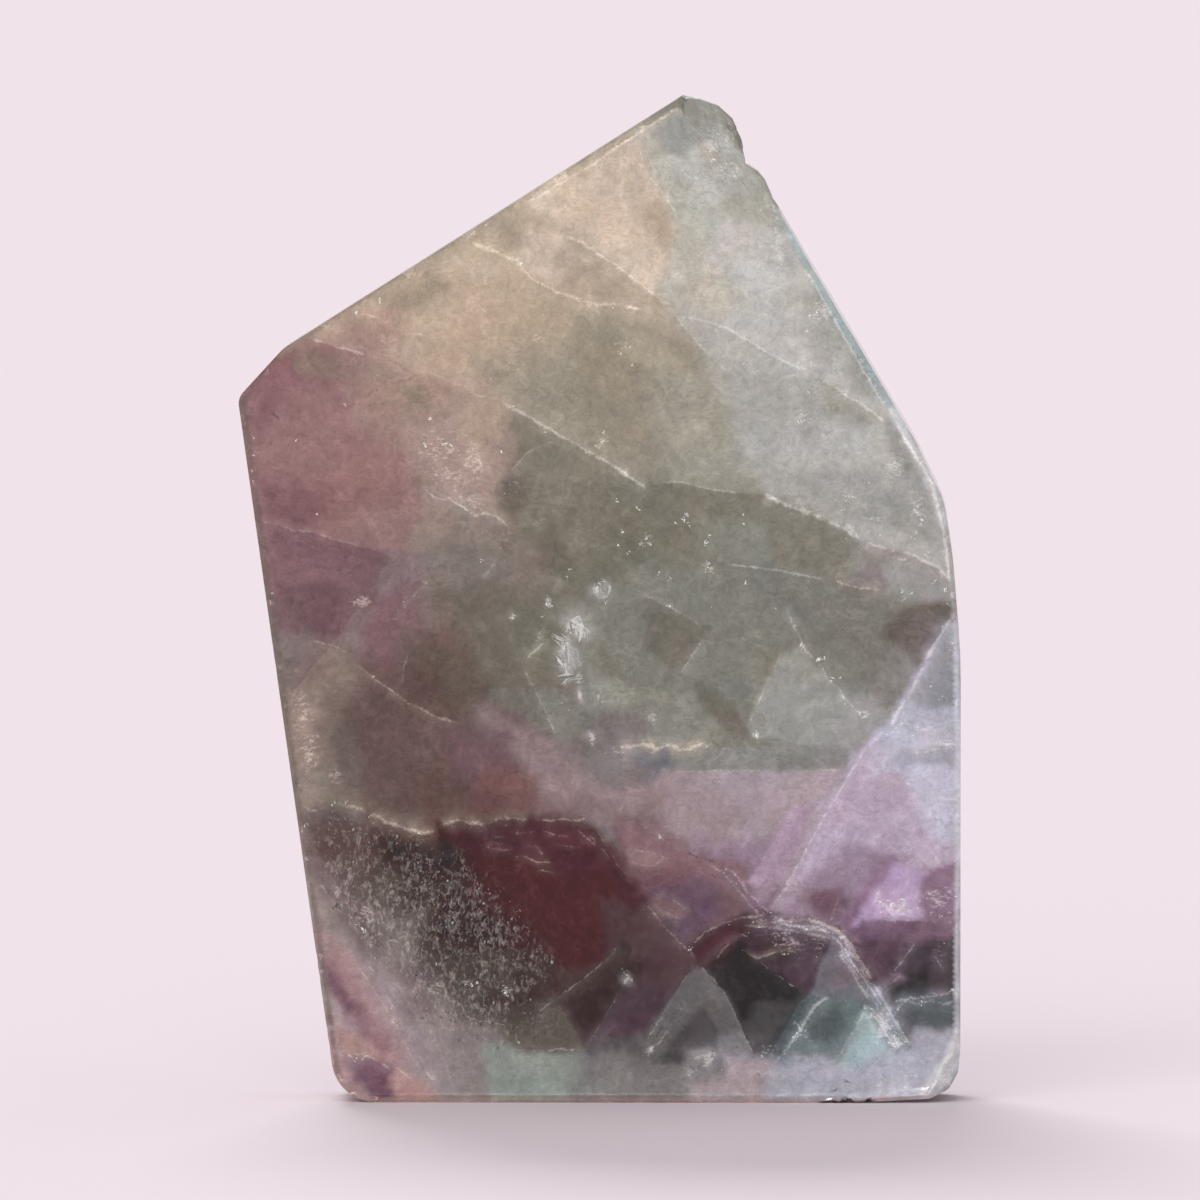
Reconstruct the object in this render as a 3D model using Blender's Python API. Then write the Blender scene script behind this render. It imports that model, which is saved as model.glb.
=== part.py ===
"""A polished slice of fluorite, standing on its sawn foot.

The slice was sawn from one crystal mass, so it is one solid. Its outline was ground to five
sides, every rim was bevelled and the whole was polished. The upper right corner is broken: the
crystal parted there along its cleavage, in flat steps. The right-hand end of the foot has a
wider ground facet and a few small pits.

The broad polished face looks towards -Y. X runs along the foot and Z up the slice. The origin is
under the middle of the slice, on the surface that the foot stands on. Sizes below are in
millimetres and are turned into metres as the mesh is made.
"""

import math
from collections import namedtuple

import bmesh
import bpy
from mathutils import Matrix, Vector

MM = 0.001

THICKNESS = 14.0
ARC_STEP = math.radians(4.0)

# One corner of the ground outline: where the two straight sides would meet, the radius of the
# round between them, and the width of the bevel there.
Corner = namedtuple("Corner", "x z radius bevel")

# Anticlockwise as seen from the front, from the right-hand end of the flat foot.
OUTLINE = (
    Corner(23.8, 0.0, 6.0, 0.25),
    Corner(31.5, 0.40, 0.8, 0.45),
    Corner(33.3, 1.25, 1.2, 1.4),
    Corner(34.2, 2.9, 1.2, 1.4),
    Corner(34.4, 5.2, 2.0, 0.35),
    Corner(34.4, 43.0, 60.0, 0.30),
    Corner(33.65, 52.1, 40.0, 0.40),
    Corner(32.85, 57.4, 8.0, 0.60),
    Corner(30.1, 63.2, 20.0, 0.55),
    Corner(16.5, 86.0, 0.8, 0.40),
    Corner(15.6, 88.0, 0.0, 0.08),
    Corner(14.9, 88.8, 0.0, 0.08),
    Corner(13.8, 89.5, 0.0, 0.08),
    Corner(13.4, 91.7, 0.8, 0.08),
    Corner(12.5, 93.8, 0.0, 0.08),
    Corner(11.1, 95.05, 0.8, 0.08),
    Corner(9.3, 95.7, 0.0, 0.08),
    Corner(7.7, 96.0, 0.0, 0.45),
    Corner(-30.2, 72.05, 4.0, 0.30),
    Corner(-34.55, 67.3, 1.6, 0.35),
    Corner(-25.1, 0.0, 4.3, 0.25),
)

# A cleavage plane takes off what lies beyond it. Its trace on the face runs through two points,
# and it leans outwards by `lean` millimetres for each millimetre of depth behind that face.
Cleavage = namedtuple("Cleavage", "start end lean face")
FRONT, BACK = -1.0, 1.0
CLEAVAGES = (
    Cleavage((6.9, 95.2), (17.6, 84.7), 0.46, FRONT),
    Cleavage((8.6, 94.6), (12.4, 89.4), 0.95, FRONT),
    Cleavage((8.9, 95.9), (14.9, 89.0), 0.55, BACK),
)

# A cleavage step is the corner of a block taken out of the rim: its middle, its edge lengths and
# its turns about X, Y and Z in degrees.
Step = namedtuple("Step", "middle edges turns")
STEPS = (
    Step((15.9, -6.4, 90.6), (3.4, 5.0, 3.0), (18.0, 42.0, 12.0)),
    Step((12.9, 6.6, 94.6), (3.0, 4.4, 2.6), (-14.0, 31.0, 20.0)),
)

# Pits along the front edge of the foot: place along the foot, width, height and depth.
Pit = namedtuple("Pit", "x width height depth")
PITS = (
    Pit(21.9, 1.5, 0.5, 0.5),
    Pit(23.6, 1.3, 0.9, 0.6),
    Pit(25.6, 0.8, 0.7, 0.5),
)

STONE_COLOUR = (0.224, 0.184, 0.176, 1.0)
STONE_ROUGHNESS = 0.08
STONE_IOR = 1.434


def rounded_corner(before, corner, after):
    """The points of one corner of the outline, as (point, bevel) pairs: an arc, or the corner."""
    here = Vector((corner.x, corner.z))
    arriving = (here - Vector((before.x, before.z))).normalized()
    leaving = (Vector((after.x, after.z)) - here).normalized()
    turn = arriving.angle_signed(leaving)
    if corner.radius == 0.0:
        return [(here, corner.bevel)]
    reach = corner.radius * math.tan(abs(turn) / 2.0)
    side = math.copysign(1.0, turn)
    start = here - arriving * reach
    inward = Vector((arriving.y, -arriving.x)) * side
    centre = start + inward * corner.radius
    steps = max(2, math.ceil(abs(turn) / ARC_STEP))
    points = []
    for i in range(steps + 1):
        turned = Matrix.Rotation(-turn * i / steps, 2)
        points.append((centre + turned @ (start - centre), corner.bevel))
    return points


def ground_outline():
    """The whole outline as (point, bevel) pairs, with its bounding box centred on x = 0."""
    count = len(OUTLINE)
    pairs = []
    for i, corner in enumerate(OUTLINE):
        pairs += rounded_corner(OUTLINE[i - 1], corner, OUTLINE[(i + 1) % count])
    middle = (min(p.x for p, _ in pairs) + max(p.x for p, _ in pairs)) / 2.0
    return [(Vector((p.x - middle, p.y)), bevel) for p, bevel in pairs]


def inset(pairs):
    """The outline moved inwards by each point's own bevel width."""
    moved = []
    for i, (here, bevel) in enumerate(pairs):
        arriving = (here - pairs[i - 1][0]).normalized()
        leaving = (pairs[(i + 1) % len(pairs)][0] - here).normalized()
        along = (arriving + leaving).normalized()
        inward = Vector((-along.y, along.x))
        moved.append(here + inward * bevel / max(along.dot(leaving), 0.5))
    return moved


def slab_mesh():
    """The bevelled slab: a front face, two bevels, the side wall and a back face."""
    pairs = ground_outline()
    rim = [point for point, _ in pairs]
    face = inset(pairs)
    half = THICKNESS / 2.0
    bm = bmesh.new()
    rings = []
    for flat, y_of in (
        (face, lambda bevel: -half),
        (rim, lambda bevel: bevel - half),
        (rim, lambda bevel: half - bevel),
        (face, lambda bevel: half),
    ):
        ring = [
            bm.verts.new(Vector((p.x, y_of(bevel), p.y)) * MM)
            for p, (_, bevel) in zip(flat, pairs)
        ]
        rings.append(ring)
    bm.faces.new(rings[0])
    bm.faces.new(reversed(rings[-1]))
    for outer, inner in zip(rings, rings[1:]):
        for i in range(len(outer)):
            j = (i + 1) % len(outer)
            bm.faces.new((outer[j], outer[i], inner[i], inner[j]))
    return bm


def cleave(bm, cleavage):
    """Takes off what lies beyond one cleavage plane and closes the cut with a flat face."""
    start = Vector((cleavage.start[0], cleavage.face * THICKNESS / 2.0, cleavage.start[1]))
    end = Vector((cleavage.end[0], cleavage.face * THICKNESS / 2.0, cleavage.end[1]))
    trace = end - start
    outward = Vector((-trace.z, 0.0, trace.x)).normalized()
    normal = (outward + Vector((0.0, cleavage.face * cleavage.lean, 0.0))).normalized()
    geometry = bm.verts[:] + bm.edges[:] + bm.faces[:]
    cut = bmesh.ops.bisect_plane(
        bm, geom=geometry, plane_co=start * MM, plane_no=normal, clear_outer=True
    )
    edges = [item for item in cut["geom_cut"] if isinstance(item, bmesh.types.BMEdge)]
    bmesh.ops.edgeloop_fill(bm, edges=edges)


def add_object(name, bm):
    """A scene object with the mesh that `bm` holds."""
    mesh = bpy.data.meshes.new(name)
    bm.to_mesh(mesh)
    bm.free()
    obj = bpy.data.objects.new(name, mesh)
    bpy.context.scene.collection.objects.link(obj)
    return obj


def cut_away(target, cutter):
    """Leaves a Boolean on the target that takes the cutter out of it, and hides the cutter."""
    cutter.hide_render = True
    cutter.display_type = "WIRE"
    modifier = target.modifiers.new(cutter.name, "BOOLEAN")
    modifier.operation = "DIFFERENCE"
    modifier.object = cutter


def step_cutter(name, step):
    """A block turned to the cleavage's slant, whose corner reaches into the broken rim."""
    bm = bmesh.new()
    bmesh.ops.create_cube(bm, size=1.0)
    bmesh.ops.scale(bm, vec=Vector(step.edges) * MM, verts=bm.verts)
    for axis, degrees in zip("XYZ", step.turns):
        turn = Matrix.Rotation(math.radians(degrees), 3, axis)
        bmesh.ops.rotate(bm, matrix=turn, verts=bm.verts)
    bmesh.ops.translate(bm, vec=Vector(step.middle) * MM, verts=bm.verts)
    return add_object(name, bm)


def pit_cutter(name, pit):
    """A small rough lump on the foot's front edge, which leaves a shallow pit."""
    bm = bmesh.new()
    bmesh.ops.create_icosphere(bm, subdivisions=1, radius=1.0)
    size = Vector((pit.width / 2.0, pit.depth, pit.height)) * MM
    bmesh.ops.scale(bm, vec=size, verts=bm.verts)
    turn = Matrix.Rotation(pit.x, 3, "Y")
    bmesh.ops.rotate(bm, matrix=turn, verts=bm.verts)
    place = Vector((pit.x, -THICKNESS / 2.0, 0.0)) * MM
    bmesh.ops.translate(bm, vec=place, verts=bm.verts)
    return add_object(name, bm)


def polished_stone():
    """Clear to cloudy fluorite, smoky sage and mauve taken together."""
    material = bpy.data.materials.new("polished_fluorite")
    material.use_nodes = True
    shader = material.node_tree.nodes["Principled BSDF"]
    shader.inputs["Base Color"].default_value = STONE_COLOUR
    shader.inputs["Roughness"].default_value = STONE_ROUGHNESS
    shader.inputs["IOR"].default_value = STONE_IOR
    shader.inputs["Metallic"].default_value = 0.0
    return material


def make_slice():
    """The whole slice: the bevelled slab, its broken corner and its pitted foot."""
    bm = slab_mesh()
    for cleavage in CLEAVAGES:
        cleave(bm, cleavage)
    stone = add_object("fluorite_slice", bm)
    for i, step in enumerate(STEPS, 1):
        cut_away(stone, step_cutter(f"step_cutter_{i}", step))
    for i, pit in enumerate(PITS, 1):
        cut_away(stone, pit_cutter(f"pit_cutter_{i}", pit))
    stone.data.materials.append(polished_stone())
    return stone


for leftover in list(bpy.data.objects):
    bpy.data.objects.remove(leftover)
make_slice()
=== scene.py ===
# %% [markdown]
# # A polished slice of fluorite, built in Blender
#
# The object is one slice, sawn from a zoned fluorite crystal, ground to five sides, bevelled,
# polished and stood on its sawn foot. Its shape is simple. Nearly all that the eye sees is
# inside it: bands of sage green, smoke, mauve and wine red that the crystal laid down as it
# grew, the ragged pale veils where it once cracked and healed, and clouds of tiny grains.
#
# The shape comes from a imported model, loaded here as a fixed frame in metres. This lesson
# refines that shape, paints the growth zones on it, and adds what lies inside the stone.

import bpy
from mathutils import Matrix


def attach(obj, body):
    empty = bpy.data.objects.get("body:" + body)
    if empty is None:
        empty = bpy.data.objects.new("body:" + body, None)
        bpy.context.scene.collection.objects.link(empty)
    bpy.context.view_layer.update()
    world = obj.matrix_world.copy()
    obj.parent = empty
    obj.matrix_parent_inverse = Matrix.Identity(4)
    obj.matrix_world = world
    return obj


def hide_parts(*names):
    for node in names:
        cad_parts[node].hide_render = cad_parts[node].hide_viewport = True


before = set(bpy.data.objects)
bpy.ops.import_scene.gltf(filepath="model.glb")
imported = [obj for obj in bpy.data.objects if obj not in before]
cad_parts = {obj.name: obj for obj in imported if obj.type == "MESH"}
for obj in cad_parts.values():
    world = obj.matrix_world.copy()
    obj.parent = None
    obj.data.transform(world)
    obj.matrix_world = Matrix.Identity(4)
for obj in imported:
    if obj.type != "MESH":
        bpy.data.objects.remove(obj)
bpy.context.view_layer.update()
stone_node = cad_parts["fluorite_slice"]

# %% [markdown]
# ## Units and shared tools
#
# A gem cutter thinks in millimetres and Blender in metres, so the script works in millimetres
# and turns them into metres when a mesh is written. The slice's front face looks along -Y, X
# runs along the foot and Z runs up. Most of the work is on that flat face, so `XZ` picks the
# columns of X and Z out of a table of points, and a flat point is the pair x, z.

# %% Shared tools
import math

import bmesh
import bpy
import numpy as np
from mathutils import Vector, geometry, kdtree, noise

MM = 0.001
THICKNESS = 14.0
FRONT = -THICKNESS / 2.0
XZ = [0, 2]
NOISE_SEED = 3
# Without a seed, noise_vector would start from the clock and differ in every run.
noise.seed_set(NOISE_SEED)


def smooth(t):
    """An S-shaped step from 0 to 1."""
    t = np.clip(t, 0.0, 1.0)
    return t * t * (3.0 - 2.0 * t)


def lumps(points, size, seed, octaves=3):
    """Fractal noise, about -1 to 1, whose lumps are `size` millimetres across."""
    start = Vector((seed * 17.3, seed * 5.1, seed * 9.7))
    return np.array([noise.fractal(Vector(p) / size + start, 1.0, 2.0, octaves) for p in points])


def drift(points, size, seed):
    """A smooth random vector at each point, for bending what would else be straight."""
    start = Vector((seed * 3.1, seed * 11.7, seed * 7.9))
    return np.array([noise.noise_vector(Vector(p) / size + start) for p in points])


def read_rows(text, units):
    """Rows of whole numbers with commas between them, each column times its unit."""
    return np.array([[int(v) for v in row.split()] for row in text.split(",")]) * units


def read_points(text):
    """Points written as "x z, x z" in tenths of a millimetre, given back in millimetres."""
    return read_rows(text, (0.1, 0.1))


# %% Tools for flat shapes
def inside(points, ring):
    """Which of the flat points lie inside a closed ring."""
    x, z = points[:, 0], points[:, 1]
    found = np.zeros(len(points), bool)
    for start, end in zip(ring, np.roll(ring, -1, axis=0)):
        crosses = (start[1] > z) != (end[1] > z)
        slope = (end[0] - start[0]) / (end[1] - start[1]) if end[1] != start[1] else 0.0
        found ^= crosses & (x < start[0] + (z - start[1]) * slope)
    return found


def reach(points, path):
    """For each flat point: its distance from a path, the length walked along the path to the
    nearest place, the side of it, and the length of the whole path."""
    best = np.full(len(points), np.inf)
    along = np.zeros(len(points))
    side = np.ones(len(points))
    walked = 0.0
    for start, end in zip(path, path[1:]):
        stride = end - start
        length = float(np.hypot(*stride))
        share = np.clip(((points - start) @ stride) / length**2, 0.0, 1.0)
        gap = points - (start + share[:, None] * stride)
        distance = np.hypot(gap[:, 0], gap[:, 1])
        nearer = distance < best
        best[nearer] = distance[nearer]
        along[nearer] = (walked + share * length)[nearer]
        side[nearer] = np.sign(stride[0] * gap[:, 1] - stride[1] * gap[:, 0])[nearer]
        walked += length
    return best, along, side, walked


def closed(ring):
    """A ring of corners as a path that ends where it starts."""
    return np.vstack([ring, ring[:1]])


def depth_inside(points, ring):
    """How far inside a closed ring each flat point lies, below nought outside it."""
    border = reach(points, closed(ring))[0]
    return np.where(inside(points, ring), border, -border)


def across(path):
    """The direction across a path at each of its points."""
    ahead = np.gradient(path, axis=0)
    ahead /= np.maximum(np.hypot(*ahead.T), 1e-9)[:, None]
    return np.stack([-ahead[:, 1], ahead[:, 0]], 1)


def at_depth(flat, y):
    """Flat points placed in space, all at one Y."""
    return np.column_stack([flat[:, 0], np.full(len(flat), y), flat[:, 1]])


def turned(u, v, angle):
    """Two flat coordinates turned anticlockwise."""
    return u * math.cos(angle) - v * math.sin(angle), u * math.sin(angle) + v * math.cos(angle)


# %% [markdown]
# ## The camera
#
# The slice is looked at square on, from very slightly above the shelf and a touch to the
# right. A long lens from 1.6 m keeps the sides parallel, as they are to an eye a few steps
# away.

# %% Camera
CAMERA_TURN = math.radians(1.0)
CAMERA_RISE = math.radians(2.6)
CAMERA_DISTANCE = 1.6
CAMERA_AIM = Vector((-0.00009, 0.0, 0.04775))
LENS = 501.2
SENSOR = 36.0

camera = bpy.data.objects.new("camera", bpy.data.cameras.new("camera"))
bpy.context.scene.collection.objects.link(camera)
towards_camera = Vector((
    math.sin(CAMERA_TURN) * math.cos(CAMERA_RISE),
    -math.cos(CAMERA_TURN) * math.cos(CAMERA_RISE),
    math.sin(CAMERA_RISE),
))
camera.location = CAMERA_AIM + towards_camera * CAMERA_DISTANCE
camera.rotation_euler = towards_camera.to_track_quat("Z", "Y").to_euler()
camera.data.sensor_width = SENSOR
camera.data.lens = LENS
camera.data.clip_start = 0.1
camera.data.clip_end = 200.0
bpy.context.scene.camera = camera
print("camera at", tuple(round(v, 3) for v in camera.location))

# %% [markdown]
# ## Studio: floor and light
#
# Clear stone shows whatever is around it, so the studio is part of its look. A wide, pale,
# faintly pink floor fills the view behind the slice. Lamps near the floor would leave a pool
# of light on it, so the studio uses two suns with very large discs, which act as far soft
# boxes: the key stands behind the slice and a little to its left, so that a soft shadow falls
# forwards, and the fill lights the polished face. The world adds an even white light, dimmer
# low down, so that the polish doesn't veil the dark zones with glare.

# %% Floor
FLOOR_COLOUR = (0.80, 0.713, 0.758, 1.0)
FLOOR_ROUGHNESS = 0.9
FLOOR_HALF = 60.0


def plain_material(name, colour, roughness):
    """A material with one Principled shader, and that shader."""
    material = bpy.data.materials.new(name)
    material.use_nodes = True
    shader = material.node_tree.nodes["Principled BSDF"]
    shader.inputs["Base Color"].default_value = colour
    shader.inputs["Roughness"].default_value = roughness
    return material, shader


floor_mesh = bpy.data.meshes.new("floor")
floor_mesh.from_pydata(
    [(-FLOOR_HALF, -FLOOR_HALF, 0.0), (FLOOR_HALF, -FLOOR_HALF, 0.0),
     (FLOOR_HALF, FLOOR_HALF, 0.0), (-FLOOR_HALF, FLOOR_HALF, 0.0)],
    [], [(0, 1, 2, 3)],
)
floor = bpy.data.objects.new("floor", floor_mesh)
bpy.context.scene.collection.objects.link(floor)
floor_paint, floor_shader = plain_material("floor_paint", FLOOR_COLOUR, FLOOR_ROUGHNESS)
floor_shader.inputs["Specular IOR Level"].default_value = 0.0
floor_mesh.materials.append(floor_paint)

# %% Light
KEY_FROM = Vector((-0.15, 0.80, 0.62))
KEY_STRENGTH = 1.95
KEY_DISC = 26.0
FILL_FROM = Vector((-0.25, -0.86, 0.55))
FILL_STRENGTH = 1.25
FILL_DISC = 50.0
ROOM_COLOUR = (1.0, 0.985, 0.99, 1.0)
ROOM_HIGH = 0.55
ROOM_LOW = 0.28
RISE_TO_HIGH = 0.7


def soft_sun(name, source, strength, disc):
    """A sun that shines from `source` towards the slice, with a disc of `disc` degrees."""
    lamp = bpy.data.lights.new(name, "SUN")
    lamp.energy = strength
    lamp.angle = math.radians(disc)
    sun = bpy.data.objects.new(name, lamp)
    sun.rotation_euler = source.to_track_quat("Z", "Y").to_euler()
    bpy.context.scene.collection.objects.link(sun)
    return sun


soft_sun("key", KEY_FROM, KEY_STRENGTH, KEY_DISC)
soft_sun("fill", FILL_FROM, FILL_STRENGTH, FILL_DISC)

world = bpy.data.worlds.new("studio")
bpy.context.scene.world = world
world.use_nodes = True
nodes, links = world.node_tree.nodes, world.node_tree.links
direction = nodes.new("ShaderNodeTexCoord")
split = nodes.new("ShaderNodeSeparateXYZ")
rise = nodes.new("ShaderNodeMapRange")
rise.inputs["From Min"].default_value = 0.0
rise.inputs["From Max"].default_value = RISE_TO_HIGH
rise.inputs["To Min"].default_value = ROOM_LOW
rise.inputs["To Max"].default_value = ROOM_HIGH
links.new(direction.outputs["Generated"], split.inputs["Vector"])
links.new(split.outputs["Z"], rise.inputs["Value"])
links.new(rise.outputs["Result"], nodes["Background"].inputs["Strength"])
nodes["Background"].inputs["Color"].default_value = ROOM_COLOUR

scene = bpy.context.scene
scene.view_settings.view_transform = "Standard"
scene.cycles.transparent_max_bounces = 24

# %% [markdown]
# ## A fine skin for the slice
#
# The frame's solid has large flat faces, as a drawing has. To carry veils, growth zones and
# the slight waviness of a hand polish, the skin needs many small triangles. Subdividing
# would follow the long thin triangles of the solid, so each flat face is refilled instead:
# its edges are cut to a fixed step, shared by both faces that meet there, and its inside is
# filled with a grid of points joined by Delaunay's rule, which gives even triangles. The
# front gets the finest grid, since that is where the stone is read.
#
# Along each veil the grid gets three close rows of points, so that a hairline has a sharp
# edge although it is only colour.

# %% Read the flat faces of the solid
WELD = 2e-6
FLAT = math.radians(0.4)


def flat_faces(node):
    """The solid's corners in millimetres, and the ring of corners of each flat face."""
    bm = bmesh.new()
    bm.from_mesh(node.data)
    bmesh.ops.remove_doubles(bm, verts=bm.verts, dist=WELD)
    bmesh.ops.dissolve_limit(bm, angle_limit=FLAT, verts=bm.verts, edges=bm.edges)
    bm.verts.index_update()
    corners = np.array([v.co for v in bm.verts], float) / MM
    rings = [([v.index for v in face.verts], np.array(face.normal, float)) for face in bm.faces]
    bm.free()
    return corners, rings


corners, rings = flat_faces(stone_node)
print(len(corners), "corners and", len(rings), "flat faces in the solid")

# %% [markdown]
# ## The colours of the stone
#
# The crystal grew in layers and blocks, each of which took up its own trace of colour. No
# noise texture makes such a pattern, so each growth zone is laid in one by one, as a painter
# blocks in a picture: a ring of corners, a named colour, and how softly it fades out. Later
# zones lie over earlier ones. The colours are the ones an eye sees in a pale studio.

# %% Named colours
STONE_COLOURS = {
    "cream": (212, 195, 177), "champagne": (202, 185, 169), "shell": (191, 173, 154),
    "tan": (180, 162, 143), "khaki": (168, 155, 136), "olive": (147, 140, 124), "moss": (126, 122, 110),
    "deep_moss": (112, 109, 97), "umber": (106, 99, 90), "light_sage": (157, 154, 142),
    "celadon": (194, 190, 178), "fern_grey": (168, 167, 158), "silver": (199, 195, 191),
    "pearl": (186, 184, 179), "pewter": (168, 167, 162), "sage": (130, 130, 121),
    "pale_sage": (148, 148, 142), "stone_grey": (122, 121, 114), "bark": (112, 108, 98),
    "rose_tan": (158, 137, 126), "blush": (168, 147, 138), "rose": (156, 126, 122),
    "mauve": (150, 117, 116), "heather": (140, 105, 107), "plum_mist": (126, 99, 103),
    "plum": (111, 85, 88), "smoke": (104, 86, 82), "cocoa": (97, 78, 73), "russet": (115, 85, 83),
    "rose_grey": (134, 117, 117), "putty": (146, 130, 122), "lilac_grey": (157, 143, 147),
    "orchid": (172, 150, 168), "lilac": (181, 166, 182), "ice": (198, 195, 210),
    "lavender": (178, 156, 187), "violet": (140, 110, 132), "dusk": (118, 92, 110),
    "aubergine": (84, 64, 74), "wine": (84, 44, 45), "rust": (78, 42, 36), "sable": (34, 17, 17),
    "claret": (76, 44, 50), "maroon": (66, 38, 42), "earth": (88, 70, 64), "ink": (38, 28, 28),
    "charcoal": (60, 58, 58), "graphite": (90, 86, 88), "ash": (116, 112, 112), "milk": (142, 133, 130),
    "mint": (134, 141, 134), "teal": (98, 110, 111), "aqua": (152, 164, 170), "frost": (175, 174, 185),
    "peach": (174, 141, 134), "white": (232, 228, 226), "gold": (226, 204, 172),
    # rim_cyan and rim_glint_white colour the painted highlights on the rims; rim_cyan also colours the pale
    # aqua wedge at the foot.
    "rim_cyan": (172, 196, 200), "rim_glint_white": (226, 226, 234), "bank_mauve": (164, 136, 137),
    "thistle": (139, 103, 121), "walnut": (101, 90, 81), "mist_grey": (152, 153, 155),
    "moth": (102, 93, 88), "fawn_grey": (128, 119, 112), "dove": (146, 135, 131),
    "slate_blue": (113, 114, 122), "crumb": (188, 181, 168), "film": (212, 211, 207),
    "plum_ash": (89, 79, 86),
}
print(len(STONE_COLOURS), "stone colours")

# %% Growth zones
from collections import namedtuple

Zone = namedtuple("Zone", "colour tone fade corners")
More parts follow.
